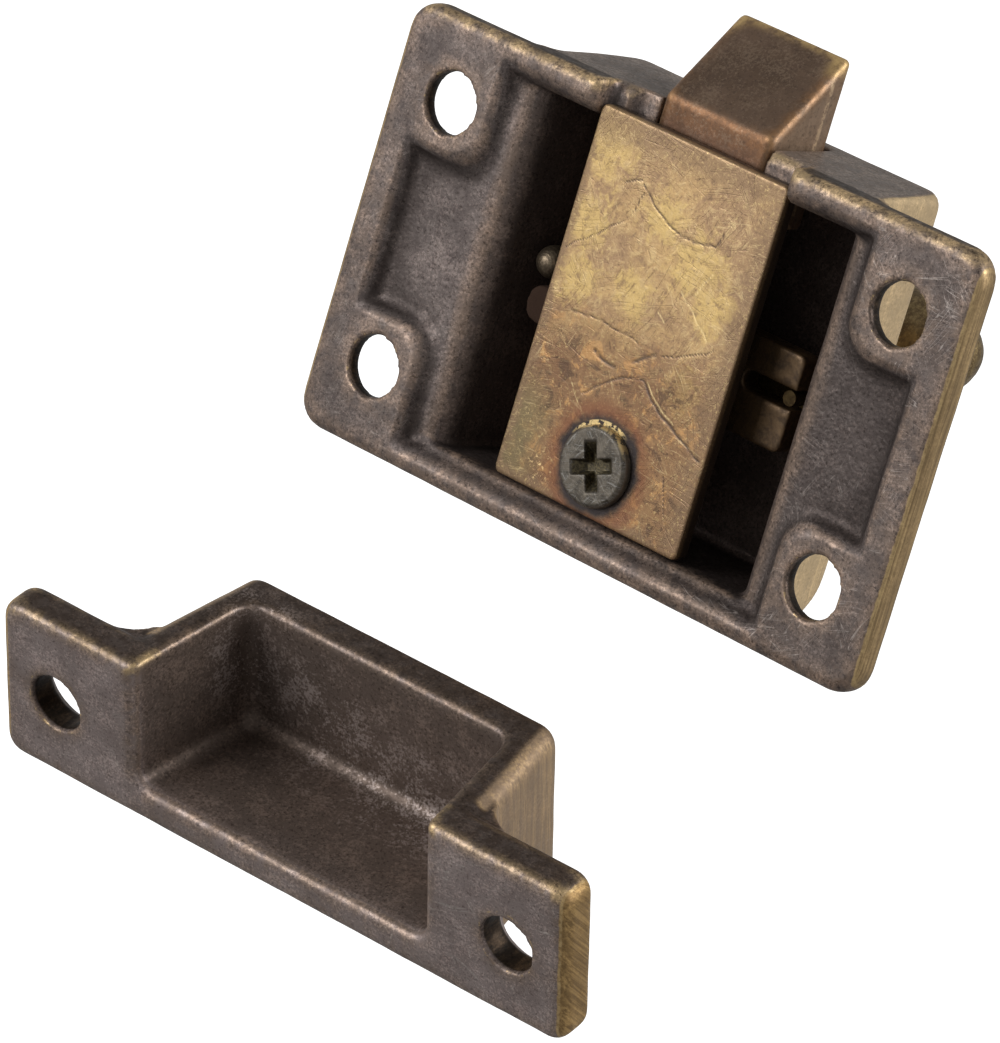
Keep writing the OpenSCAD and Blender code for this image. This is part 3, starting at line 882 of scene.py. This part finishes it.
@dataclass(frozen=True)
class SheetMarks:
    """Scores and rubbed spots on the outer face of the strip: height and length in millimetres."""

    face_y: float = -1.0
    groove: float = 0.012
    dark: Sequence[Line] = (
        (0.16, ((11.25, -3.39), (10.29, -2.25), (9.32, -0.34), (8.76, 1.03), (8.95, 2.5), (9.11, 4.55))),
        (0.12, ((9.11, 4.55), (10.5, 4.95))),
        (0.14, ((10.75, -5.15), (11.46, -3.67))),
        (0.10, ((4.28, -8.76), (6.07, -6.49), (8.45, -3.88), (10.58, -3.14))),
        (0.26, ((-2.57, 1.68), (-3.72, 3.09), (-4.81, 5.06), (-5.62, 6.91), (-6.3, 8.71))),
        (0.15, ((-2.57, 1.68), (-3.03, -0.28), (-4.24, -1.78), (-5.46, -3.28))),
        (0.12, ((-0.01, -6.54), (0.23, -3.48), (0.08, -1.47), (-0.08, 0.35))),
        (0.10, ((-0.29, 2.75), (0.69, 4.88), (1.35, 6.56), (2.01, 7.07))),
        (0.36, ((-2.2, -3.34), (-2.5, -2.4), (-2.6, -1.3))),
        (0.30, ((-1.7, 0.3), (-1.1, 1.0), (-0.4, 2.0))),
        (0.09, ((-8.6, 6.1), (-10.9, 6.9), (-12.4, 7.7))),
    )
    bright: Sequence[Line] = (
        (0.09, ((4.9, 2.7), (3.6, 4.6), (2.28, 6.2))),
        (0.07, ((4.65, 3.57), (7.23, 5.07))),
        (0.08, ((2.75, 1.15), (2.1, 2.05))),
        (0.10, ((-2.5, 2.05), (-3.6, 3.5), (-4.7, 5.4))),
        (0.07, ((-5.2, -4.6), (-7.0, -2.8))),
    )
    patches: Sequence[Triple] = (
        (13.0, -7.4, 3.4), (6.8, -7.4, 2.6), (7.2, 3.6, 3.0), (4.9, 5.7, 2.6), (-1.9, 5.2, 2.2),
        (2.3, -6.8, 2.4), (9.5, -0.6, 2.4), (3.2, -1.4, 2.2))

    def mark(self, mesh: bpy.types.Mesh) -> None:
        """Cuts the scores and stores their masks and the reach of the rubbed spots.

        Args:
            mesh: the strip's mesh.
        """
        spots = points_of(mesh, "co") * MM
        level = spots[:, (0, 2)]
        sway = np.stack([np.sin(level @ (1.1, 1.7)) + np.sin(level @ (-2.6, 2.1)),
                         np.sin(level @ (1.9, -1.3) + 1.0) + np.sin(level @ (2.3, 2.8))], axis=1) * 0.05
        outer = spots[:, 1] > self.face_y - 0.3
        dark, bright = (self._near(level + sway, lines) * outer for lines in (self.dark, self.bright))
        store(mesh, "score_dark", dark)
        store(mesh, "score_bright", bright)
        store(mesh, "patch_reach", np.min([np.hypot(level[:, 0] - x, level[:, 1] - z) / reach
                                           for x, z, reach in self.patches], axis=0))
        spots[:, 1] -= self.groove * np.maximum(dark, bright)
        mesh.vertices.foreach_set("co", (spots / MM).ravel())
        mesh.update()

    @staticmethod
    def _near(level: np.ndarray, lines: Sequence[Line]) -> np.ndarray:
        """Closeness to a set of broken lines.

        Args:
            level: points on the face.
            lines: width and corner points of each line.

        Returns:
            1 on a line, falling to 0 at its width.
        """
        best = np.zeros(len(level))
        for width, points in lines:
            for start, end in zip(points, points[1:]):
                reach = np.subtract(end, start)
                run = np.clip((level - start) @ reach / (reach @ reach), 0.0, 1.0)
                far = np.linalg.norm(level - start - run[:, None] * reach, axis=1)
                best = np.maximum(best, np.clip(1.2 - far / width / 0.6, 0.0, 1.0))
        return best


@dataclass(frozen=True)
class StripTones:
    """Colours of the strip's brass, its stains, its marks and the heat round its screw."""

    brown: Colour = (0.335, 0.210, 0.112)
    brass: Colour = (0.47, 0.305, 0.138)
    rubbed: Colour = (0.64, 0.455, 0.160)
    fleck_pale: Colour = (0.57, 0.405, 0.20)
    fleck_dark: Colour = (0.215, 0.135, 0.083)
    dust_pale: Colour = (0.63, 0.46, 0.205)
    dust_dark: Colour = (0.15, 0.09, 0.055)
    # Painted shade on the underside of the strip.
    shade_under: Colour = (0.034, 0.023, 0.016)
    copper: Colour = (0.190, 0.095, 0.047)
    orange: Colour = (0.55, 0.30, 0.115)
    smudge: Colour = (0.085, 0.048, 0.030)
    green: Colour = (0.185, 0.142, 0.070)
    border: Colour = (0.225, 0.142, 0.080)
    scratch_dark: Colour = (0.17, 0.105, 0.065)
    scratch_pale: Colour = (0.74, 0.56, 0.29)
    score_dark: Colour = (0.085, 0.058, 0.045)
    score_pale: Colour = (0.78, 0.60, 0.30)
    heat_red: Colour = (0.21, 0.075, 0.036)
    heat_black: Colour = (0.022, 0.019, 0.022)
    flake: Colour = (0.72, 0.54, 0.25)
    crumb: Colour = (0.74, 0.52, 0.25)


class StripBrass(Finish):
    """Mottled brass sheet with scores, scratches and heat colours round the screw."""

    name = "strip_sheet"
    bump_depth = 0.00008
    bump_strength = 0.6
    tones = StripTones()
    screw_x = -10.2
    half = 9.25
    foot = -14.2
    top = 15.7
    crumbs_at = (-12.2, -5.2)

    def lay(self, k: Paint) -> tuple[Value, Value]:
        """Lays the brass, its stains, the scores and the heat colours.

        Args:
            k: paint of the material.

        Returns:
            The roughness and the height of the bump.
        """
        t = self.tones
        cloud = k.noise(k.place, 0.22, 5.0, 0.65, 0.6)
        fleck = k.noise(k.place, 1.0, 5.0, 0.7, 0.8)
        dust = k.noise(k.place, 4.5, 3.0, 0.7)
        k.colour = k.blend(k.span(cloud, 0.36, 0.64), t.brown, t.brass)
        ragged = k.plus(k.attribute("patch_reach"), k.sway(k.place, 3.2, 0.9, 6.0, 0.72, 0.7))
        k.coat(t.rubbed, k.fade(ragged, 0.3, 1.15), 0.6)
        k.coat(t.fleck_pale, k.span(fleck, 0.5, 0.66, 0.0, 0.6))
        k.coat(t.fleck_dark, k.fade(fleck, 0.32, 0.48, 0.65))
        self._low_end(k, cloud)
        self._border(k)
        k.coat(t.dust_pale, k.span(dust, 0.56, 0.7, 0.0, 0.55))
        k.coat(t.dust_dark, k.fade(dust, 0.30, 0.43, 0.6))
        marks = self._scored(k)
        self._halo(k)
        self._crumbs(k)
        # Painted shade on the underside of the strip, which faces into the hollow.
        k.coat(t.shade_under, k.fade(k.y, -1.75, -1.2, 0.92))
        return k.span(fleck, 0.3, 0.7, 0.52, 0.36), k.less(k.times(fleck, 0.5), marks)

    def _low_end(self, k: Paint, cloud: Socket) -> None:
        """Lays the copper tint and stains of the lower end and the green tint of its left edge.

        Args:
            k: paint of the material.
            cloud: slow noise.
        """
        t = self.tones
        warp = k.sway(k.place, 4.0, 0.5, 4.0, 0.6)
        low = k.fade(k.plus(k.x, warp), -3.5, 2.5, 0.9)
        spots = k.noise(k.place, 0.62, 5.0, 0.7, 0.8)
        k.coat(t.copper, low, k.span(cloud, 0.3, 0.62, 1.0, 0.7))
        k.coat(t.orange, low, k.fade(spots, 0.38, 0.46, 0.75))
        k.coat(t.smudge, low, k.span(spots, 0.55, 0.63, 0.0, 0.8))
        k.coat(t.green, k.fade(k.plus(k.z, warp), -8.0, -4.5), k.fade(k.x, -9.0, -4.0, 0.85))

    def _border(self, k: Paint) -> None:
        """Lays a brown border along the edges of the strip.

        Args:
            k: paint of the material.
        """
        warp = k.sway(k.place, 3.2, 0.55, 5.0, 0.66)
        x, z = k.plus(k.x, warp), k.plus(k.z, warp)
        rim = k.most(
            k.span(z, self.half - 2.6, self.half - 0.8), k.fade(z, -self.half + 0.3, -self.half + 1.1),
            k.span(x, self.top - 4.0, self.top - 0.8), k.fade(x, self.foot + 0.3, self.foot + 1.4))
        k.coat(self.tones.border, rim, 0.8)

    def _scored(self, k: Paint) -> Socket:
        """Lays deep scores, dark and bright, over many fine scratches.

        Args:
            k: paint of the material.

        Returns:
            The depth of the marks.
        """
        t = self.tones
        fine = k.effect(self.effects.scratches, Width=0.011, Cover=0.48)["Mask"]
        shifted = k.vector("ADD", k.stretch(k.place, 1.15, 1.0, 1.15), (31.0, 5.0, 17.0))[0]
        pale = k.group(self.effects.scratches, Place=shifted, Width=0.010, Cover=0.5)["Mask"]
        gaps = k.span(k.noise(k.place, 1.4, 3.0, 0.6), 0.32, 0.5, 0.3, 1.0)
        dark_score, pale_score = (k.times(k.attribute(name), gaps) for name in ("score_dark", "score_bright"))
        for tone, mask, share in ((t.scratch_dark, fine, 0.4), (t.scratch_pale, pale, 0.35),
                                  (t.score_dark, dark_score, 0.9), (t.score_pale, pale_score, 0.85)):
            k.coat(tone, mask, share)
        return k.plus(k.times(fine, 0.2), k.times(dark_score, 0.4))

    def _halo(self, k: Paint) -> None:
        """Lays the heat colours round the screw, with flakes of bright metal at its upper side.

        Args:
            k: paint of the material.
        """
        t, rise = self.tones, k.less(k.x, self.screw_x)
        far = k.reach(rise, k.z)
        wide = k.plus(far, k.sway(k.place, 1.6, 0.5, 3.0))
        k.coat(t.heat_red, k.span(wide, 3.5, 4.1), k.fade(wide, 4.2, 5.8), 0.6)
        k.coat(t.heat_black, k.fade(wide, 3.5, 4.35, 0.95))
        flaky = k.span(k.noise(k.place, 2.2, 4.0, 0.7), 0.46, 0.5)
        k.coat(t.flake, flaky, k.span(rise, 1.2, 2.6), k.fade(far, 3.5, 3.62), k.fade(k.z, 1.0, 2.0), 0.95)

    def _crumbs(self, k: Paint) -> None:
        """Lays bright crumbs beside the screw."""
        away = k.reach(k.less(k.x, self.crumbs_at[0]), k.less(k.z, self.crumbs_at[1]))
        k.coat(self.tones.crumb, k.span(k.noise(k.place, 2.0, 3.0, 0.7), 0.59, 0.63),
               k.fade(away, 0.7, 1.8), 0.9)


@dataclass(frozen=True)
class BoltTones:
    """Colours of the bolt."""

    dark: Colour = (0.084, 0.052, 0.034)
    mid: Colour = (0.135, 0.086, 0.057)
    copper: Colour = (0.150, 0.062, 0.020)
    side: Colour = (0.262, 0.180, 0.120)
    mottle: Colour = (0.17, 0.105, 0.062)
    speck: Colour = (0.26, 0.185, 0.125)
    pit: Colour = (0.040, 0.025, 0.017)
    sheen: Colour = (0.24, 0.116, 0.044)
    worn: Colour = (0.40, 0.225, 0.105)
    tip: Colour = (0.50, 0.345, 0.15)
    seam: Colour = (0.45, 0.32, 0.20)
    # Painted shade on the back under the strip.
    shade_under: Colour = (0.09, 0.045, 0.026)
    # Tail tones, darkened as painted shade.
    tail_dark_and_shade: Colour = (0.05, 0.029, 0.014)
    tail_tone_and_shade: Colour = (0.12, 0.072, 0.034)
    ear: Colour = (0.05, 0.026, 0.016)
    # Dirt with painted shade in concave places.
    dirt_and_shade: Colour = (0.02, 0.014, 0.01)


class BoltBronze(Finish):
    """Brown bronze of the bolt, copper toned on the flat and worn to gold at the tip."""

    name = "bolt_skin"
    tones = BoltTones()

    def lay(self, k: Paint) -> tuple[Value, Value]:
        """Lays the bronze, its worn places, painted shade on the tail and on the back under the strip, and dirt
        with painted shade in corners.

        Args:
            k: paint of the material.

        Returns:
            The roughness and the height of the bump.
        """
        t = self.tones
        wear_sheen_and_shade = k.effect(self.effects.wear_sheen_and_shade, Breakup=1.0)
        grain = k.effect(self.effects.grain)
        mottle, back = grain["Mottle"], k.span(k.face[1], 0.85, 0.98)
        k.colour = k.blend(grain["Cloud"], t.dark, t.mid)
        k.coat(t.copper, back, k.span(mottle, 0.0, 1.0, 0.55, 0.95))
        k.coat(t.side, k.span(k.away(k.face[2]), 0.8, 0.97), 0.85)
        for tone, mask, share in ((t.mottle, mottle, 0.2), (t.speck, grain["Speck"], 0.4),
                                  (t.pit, grain["Pit"], 0.45), (t.sheen, wear_sheen_and_shade["Sheen"], 0.4),
                                  (t.worn, wear_sheen_and_shade["Wear"], 0.75)):
            k.coat(tone, mask, share)
        k.coat(t.tip, k.span(k.x, 22.6, 23.9), wear_sheen_and_shade["Sheen"])
        k.coat(t.seam, k.fade(k.away(k.y, -8.2), 0.08, 0.3), k.span(k.away(k.z), 5.2, 5.42),
               k.span(k.noise(k.place, 1.2, 4.0, 0.7), 0.42, 0.55))
        # Painted shade on the back under the strip.
        k.coat(t.shade_under, back, k.fade(k.x, 15.4, 17.4, 0.7))
        tail = k.fade(k.x, 5.5, 8.0)
        ear = k.times(tail, k.fade(k.z, -7.0, -5.0))
        # Tail tone, darkened as painted shade.
        k.coat(k.blend(mottle, t.tail_dark_and_shade, t.tail_tone_and_shade), tail, k.span(k.z, 3.5, 6.0))
        k.coat(t.ear, ear)
        # Concave places darker: dirt and painted shade.
        k.coat(t.dirt_and_shade, wear_sheen_and_shade["DirtAndShade"], 0.7)
        return k.most(k.span(mottle, 0.0, 1.0, 0.54, 0.4), k.times(ear, 0.9)), grain["Height"]


@dataclass(frozen=True)
class ScrewTones:
    """Colours of the screw."""

    dark: Colour = (0.060, 0.051, 0.040)
    mid: Colour = (0.135, 0.115, 0.090)
    speck: Colour = (0.25, 0.215, 0.165)
    scratch: Colour = (0.30, 0.29, 0.27)
    worn: Colour = (0.27, 0.255, 0.22)
    skirt: Colour = (0.17, 0.145, 0.11)
    flake: Colour = (0.70, 0.53, 0.26)
    soil_dark: Colour = (0.030, 0.023, 0.012)
    soil: Colour = (0.14, 0.112, 0.055)
    # Dirt with painted shade in concave places.
    dirt_and_shade: Colour = (0.014, 0.012, 0.009)


class ScrewBlack(Finish):
    """Blackened steel of the screw, with a rubbed rim and a soiled recess."""

    name = "screw_skin"
    metallic = 0.7
    bump_depth = 0.00004
    bump_strength = 0.5
    tones = ScrewTones()

    def lay(self, k: Paint) -> tuple[Value, Value]:
        """Lays the black skin, the rubbed rim and the soil in the recess.

        Args:
            k: paint of the material.

        Returns:
            The roughness and the height of the bump.
        """
        t = self.tones
        wear_sheen_and_shade = k.effect(self.effects.wear_sheen_and_shade, Breakup=1.6)
        patch = k.noise(k.place, 1.1, 5.0, 0.65)
        fine = k.noise(k.place, 5.0, 4.0, 0.7)
        marks = k.group(self.effects.scratches, Place=k.stretch(k.place, 2.2, 2.2, 2.2), Width=0.02, Cover=0.48)
        rise = k.less(k.x, StripBrass.screw_x)
        far = k.reach(rise, k.z)
        k.colour = k.blend(k.span(patch, 0.36, 0.66), t.dark, t.mid)
        k.coat(t.speck, k.span(fine, 0.55, 0.72, 0.0, 0.6))
        k.coat(t.scratch, marks["Mask"], 0.55)
        k.coat(t.worn, wear_sheen_and_shade["Wear"], 0.75)
        k.coat(t.skirt, k.span(far, 3.0, 3.15), k.fade(k.y, -0.55, -0.25), 0.7)
        k.coat(t.flake, k.span(rise, 1.4, 2.6), k.span(far, 2.95, 3.12),
               k.span(k.noise(k.place, 1.6, 4.0, 0.7), 0.48, 0.53))
        soil = k.blend(k.span(fine, 0.4, 0.62), t.soil_dark, t.soil)
        k.coat(soil, k.fade(k.y, -0.36, -0.2), k.fade(far, 2.4, 2.7), 0.85)
        # Concave places darker: dirt and painted shade.
        k.coat(t.dirt_and_shade, wear_sheen_and_shade["DirtAndShade"], 0.5)
        return k.span(patch, 0.3, 0.7, 0.4, 0.54), fine


@dataclass(frozen=True)
class RubbedTones:
    """Colours and gloss of a rubbed metal."""

    low: Colour
    high: Colour
    edge: Colour
    rough_low: float
    rough_high: float
    # Dirt with painted shade in concave places.
    dirt_and_shade: Colour = (0.03, 0.02, 0.012)


class RubbedBrass(Finish):
    """Plain worn metal for the knob, the crank, the stop pin and the spring."""

    metallic = 0.85

    def __init__(self, effects: Effects, name: str, tones: RubbedTones) -> None:
        """Keeps the name and the tones."""
        super().__init__(effects)
        self.name, self.tones = name, tones

    def lay(self, k: Paint) -> tuple[Value, Value]:
        """Lays the metal with its streaks, specks and worn edges.

        Args:
            k: paint of the material.

        Returns:
            The roughness and the height of the bump.
        """
        t = self.tones
        wear_sheen_and_shade = k.effect(self.effects.wear_sheen_and_shade, Breakup=1.0)
        grain, brush = k.effect(self.effects.grain), k.effect(self.effects.brushing)
        k.colour = k.blend(grain["Mottle"], t.low, t.high)
        # The last coat darkens concave places as dirt and painted shade.
        for tone, mask, share in ((t.low, brush["Streak"], 0.3), (t.edge, grain["Speck"], 0.3),
                                  (t.edge, wear_sheen_and_shade["Wear"], 0.7), (t.dirt_and_shade, wear_sheen_and_shade["DirtAndShade"], 0.6)):
            k.coat(tone, mask, share)
        return k.span(grain["Mottle"], 0.0, 1.0, t.rough_high, t.rough_low), grain["Height"]


def dress(node: str, material: bpy.types.Material) -> None:
    """Puts a material on a carried-over node.

    Args:
        node: name of the node.
        material: its finish.
    """
    piece = frame["nodes"][node]
    if not piece.material_slots:
        piece.data.materials.append(material)
    for holder in piece.material_slots:
        holder.material = material
    LOG.info("dressed %s with %s", node, material.name)


@dataclass
class Latch:
    """The latch: case, strip, screw, bolt, spring, stop pin, knob and crank."""

    effects: Effects
    case_voxel: float = 0.0003
    bolt_voxel: float = 0.0002
    screw_voxel: float = 0.00007
    strip_voxel: float = 0.00012
    travel: float = 0.00687
    marks: SheetMarks = SheetMarks()
    tones: PatinaTones = PatinaTones()
    places: PatinaPlaces = PatinaPlaces(
        hole_x=10.8, hole_z=22.4, hole_r=2.45, hollow_low=-14.5, hollow_high=14.7, hollow_half=17.5,
        hollow_y=-1.45, hollow_end=-11.2, gloom=0.88, rough_x=15.2, rough_half=25.4, rough_y=-0.55,
        end_z=28.05, wall_z=17.9, wall_y=-2.7, head_x=17.46, edge_y=-2.2, slant=0.0, coarse=1.0, dim=0.27,
        bare=0.5)
    # The knob and crank tones are darkened as painted shade, as both lie in shade behind the case.
    knob: RubbedTones = RubbedTones((0.12, 0.08, 0.04), (0.28, 0.20, 0.095), (0.60, 0.44, 0.21), 0.3, 0.44)
    crank: RubbedTones = RubbedTones((0.035, 0.021, 0.008), (0.07, 0.046, 0.017), (0.2, 0.14, 0.06), 0.6, 0.7)
    pin: RubbedTones = RubbedTones((0.09, 0.068, 0.047), (0.18, 0.137, 0.09), (0.46, 0.37, 0.24), 0.3, 0.45)
    wire: RubbedTones = RubbedTones((0.30, 0.29, 0.27), (0.46, 0.45, 0.42), (0.62, 0.61, 0.58), 0.25, 0.4)

    def cast_case(self) -> None:
        """Builds the case with its patina."""
        skin = CastPatina(self.effects, "case_patina", Axes(), self.places, self.tones).build()
        Casting("case", "cast_case", "case", Slot.BRONZE, self.case_voxel, passes=2, waves=0.00005).model(skin)

    def cast_bolt(self) -> None:
        """Builds the bolt with its bronze."""
        skin = BoltBronze(self.effects).build()
        Casting("bolt", "cast_bolt", "bolt", Slot.BOLT, self.bolt_voxel, passes=2, waves=0.00004).model(skin)

    def press_strip(self) -> None:
        """Builds the cover strip with worn edges and scores."""
        strip = Casting("cover_strip", "pressed_strip", "case", Slot.STRIP, self.strip_voxel, passes=4)
        self.marks.mark(strip.model(StripBrass(self.effects).build()).data)

    def fit_screw(self) -> None:
        """Builds the screw with a worn recess."""
        screw = Casting("strip_screw", "worn_screw", "case", Slot.SCREW, self.screw_voxel, passes=3)
        screw.model(ScrewBlack(self.effects).build())

    def dress_works(self) -> None:
        """Gives the knob, the crank and the stop pin their metals."""
        for node, name, tones in (("knob", "knob_brass", self.knob), ("crank", "crank_brass", self.crank),
                                  ("stop_pin", "pin_brass", self.pin)):
            dress(node, RubbedBrass(self.effects, name, tones).build())

    def wind_spring(self) -> None:
        """Builds the spring as a smooth copy of its node, with a steel finish and a mesh of its own."""
        piece = merged_copy("bolt_spring", "wound_spring")
        bpy.ops.object.shade_smooth()
        steel = RubbedBrass(self.effects, "spring_wire", self.wire).build()
        hand_over(piece, "bolt_spring", "case", steel)
        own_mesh(piece)


@dataclass
class Strike:
    """The strike, in its own tilted frame."""

    effects: Effects
    origin: Triple = (-0.0356, 0.0303, 0.0039)
    turn: Triple = (4.2, -3.3, 26.4)
    voxel: float = 0.00025
    fillet: Fillet = Fillet(-0.0035, 0.01638, 0.0034, 0.0066, 8.5)
    tones: PatinaTones = PatinaTones(
        dark=(0.195, 0.154, 0.142), mid=(0.265, 0.215, 0.202), pale=(0.36, 0.305, 0.285),
        # hollow_shade is painted shade in the cup; the dark satin and edge are painted shade on the upper
        # faces.
        pit=(0.050, 0.037, 0.031), rubbed=(0.175, 0.124, 0.088), hollow_shade=(0.112, 0.082, 0.065),
        satin=(0.036, 0.024, 0.017), edge=(0.036, 0.024, 0.017), brushed_low=(0.185, 0.115, 0.048),
        brushed_high=(0.66, 0.43, 0.175), bare=(0.42, 0.33, 0.27))
    places: PatinaPlaces = PatinaPlaces(
        hole_x=0.2, hole_z=21.4, hole_r=2.35, hollow_low=-4.6, hollow_high=6.9, hollow_half=14.2,
        hollow_y=-0.6, hollow_end=-13.2, gloom=0.8, rough_x=6.6, rough_half=14.2, rough_y=-1.2,
        end_z=26.05, wall_z=18.6, wall_y=-4.0, head_x=7.1, edge_y=-99.0, slant=-38.0, coarse=0.3, dim=0.0,
        bare=0.35, seam=((2.5, -11.3, -12.5), (-4.0, -10.8, 9.0)))

    def axes(self) -> Axes:
        """Frame of the strike in the row frame.

        Returns:
            Its origin and axes.
        """
        a, b, c = (math.radians(v) for v in self.turn)
        spun = Matrix.Rotation(c, 3, "Z") @ Matrix.Rotation(b, 3, "Y") @ Matrix.Rotation(a, 3, "X")
        return Axes(self.origin, *(tuple(spun.col[i]) for i in range(3)))

    def cast(self) -> None:
        """Builds the strike with its patina."""
        axes = self.axes()
        skin = CastPatina(self.effects, "strike_patina", axes, self.places, self.tones).build()
        Casting("strike", "cast_strike", "case", Slot.BRONZE, self.voxel, passes=4, waves=0.00006, axes=axes,
                fillet=self.fillet).model(skin)


@dataclass(frozen=True)
class Lamp:
    """A square area lamp: metres to the right, up and towards the camera from the object, side and watts."""

    name: str
    right: float
    up: float
    back: float
    size: float
    power: float


@dataclass
class Studio:
    """Camera, lamps, white surround and pale floor."""

    eye: Triple = (0.1220, 0.4272, 0.3027)
    right: Triple = (0.2786, -0.6211, 0.7326)
    up: Triple = (0.9258, -0.0292, -0.3768)
    back: Triple = (0.2554, 0.7832, 0.5669)
    focal_px: float = 7156.17
    long_side_px: float = 1043.0
    sensor: float = 36.0
    aim: Triple = (-0.012, 0.008, 0.002)
    lamps: Sequence[Lamp] = (
        Lamp("key_lamp", -0.60, 0.25, 0.37, 0.4, 3.8), Lamp("side_lamp", 0.65, 0.1, 0.3, 0.4, 4.5))
    surround: float = 0.24
    surround_gloss: float = 0.12
    floor_drop: float = 0.5
    floor_size: float = 6.0
    floor_white: float = 0.82
    floor_glow: float = 0.95

    def place_camera(self) -> None:
        """Sets the camera that the photograph was taken with."""
        data = bpy.data.cameras.new("photo_camera")
        data.sensor_width = self.sensor
        data.lens = self.sensor * self.focal_px / self.long_side_px
        data.clip_start, data.clip_end = 0.01, 20.0
        camera = bpy.data.objects.new("photo_camera", data)
        bpy.context.scene.collection.objects.link(camera)
        turned = Matrix((self.right, self.up, self.back)).transposed().to_4x4()
        camera.matrix_world = Matrix.Translation(self.eye) @ turned
        bpy.context.scene.camera = camera

    def hang(self, lamp: Lamp) -> None:
        """Adds a lamp, aimed at the object.

        Args:
            lamp: the lamp, placed by the camera's axes.
        """
        data = bpy.data.lights.new(lamp.name, "AREA")
        data.shape, data.size, data.energy = "SQUARE", lamp.size, lamp.power
        made = bpy.data.objects.new(lamp.name, data)
        bpy.context.scene.collection.objects.link(made)
        at = Vector(self.right) * lamp.right + Vector(self.up) * lamp.up + Vector(self.back) * lamp.back
        made.location = Vector(self.aim) + at
        made.rotation_mode = "QUATERNION"
        made.rotation_quaternion = (-at).to_track_quat("-Z", "Y")

    @staticmethod
    def _seen(g: Graph) -> tuple[Value, Sockets]:
        """Mask of what the camera sees directly or through something.

        Args:
            g: graph of the world or the material.

        Returns:
            The mask and the kinds of ray.
        """
        path = g.node("LightPath").outputs
        return g.most(path["Is Camera Ray"], path["Is Transmission Ray"]), path

    def light(self) -> None:
        """Adds the lamps and the white surround."""
        for lamp in self.lamps:
            self.hang(lamp)
        world = bpy.data.worlds.new("studio_surround")
        bpy.context.scene.world = world
        world.use_nodes = True
        world.node_tree.nodes.clear()
        g = Graph(world.node_tree)
        seen, path = self._seen(g)
        level = g.plus(g.times(path["Is Glossy Ray"], self.surround_gloss), self.surround)
        sky = g.node("Background", {"Color": (1.0, 1.0, 1.0), "Strength": g.most(seen, level)})
        g.node("OutputWorld", {"Surface": sky.outputs[0]})

    def lay_floor(self) -> None:
        """Lays a pale floor below the object."""
        bpy.ops.object.select_all(action="DESELECT")
        below = (0.0, 0.0, CAD_BOX[0].z - self.floor_drop)
        bpy.ops.mesh.primitive_plane_add(size=self.floor_size, location=below)
        floor = bpy.context.object
        floor.name = "pale_floor"
        made = bpy.data.materials.new("floor_white")
        made.use_nodes = True
        made.node_tree.nodes.clear()
        g = Graph(made.node_tree)
        matt = g.node("BsdfDiffuse", {"Color": (self.floor_white,) * 3})
        glow = g.node("Emission", {"Strength": g.times(self._seen(g)[0], self.floor_glow)})
        both = g.node("AddShader", {0: matt.outputs[0], 1: glow.outputs[0]})
        g.node("OutputMaterial", {"Surface": both.outputs[0]})
        floor.data.materials.append(made)


def main() -> None:
    """Builds the scene."""
    logging.basicConfig(level=logging.INFO, format="%(name)s: %(message)s")
    bpy.context.scene.view_settings.view_transform = "Standard"
    studio = Studio()
    studio.place_camera()
    effects = Effects()
    latch = Latch(effects)
    latch.cast_case()
    latch.cast_bolt()
    latch.press_strip()
    latch.fit_screw()
    latch.dress_works()
    latch.wind_spring()
    Strike(effects).cast()
    studio.light()
    studio.lay_floor()


if __name__ == "__main__":
    main()
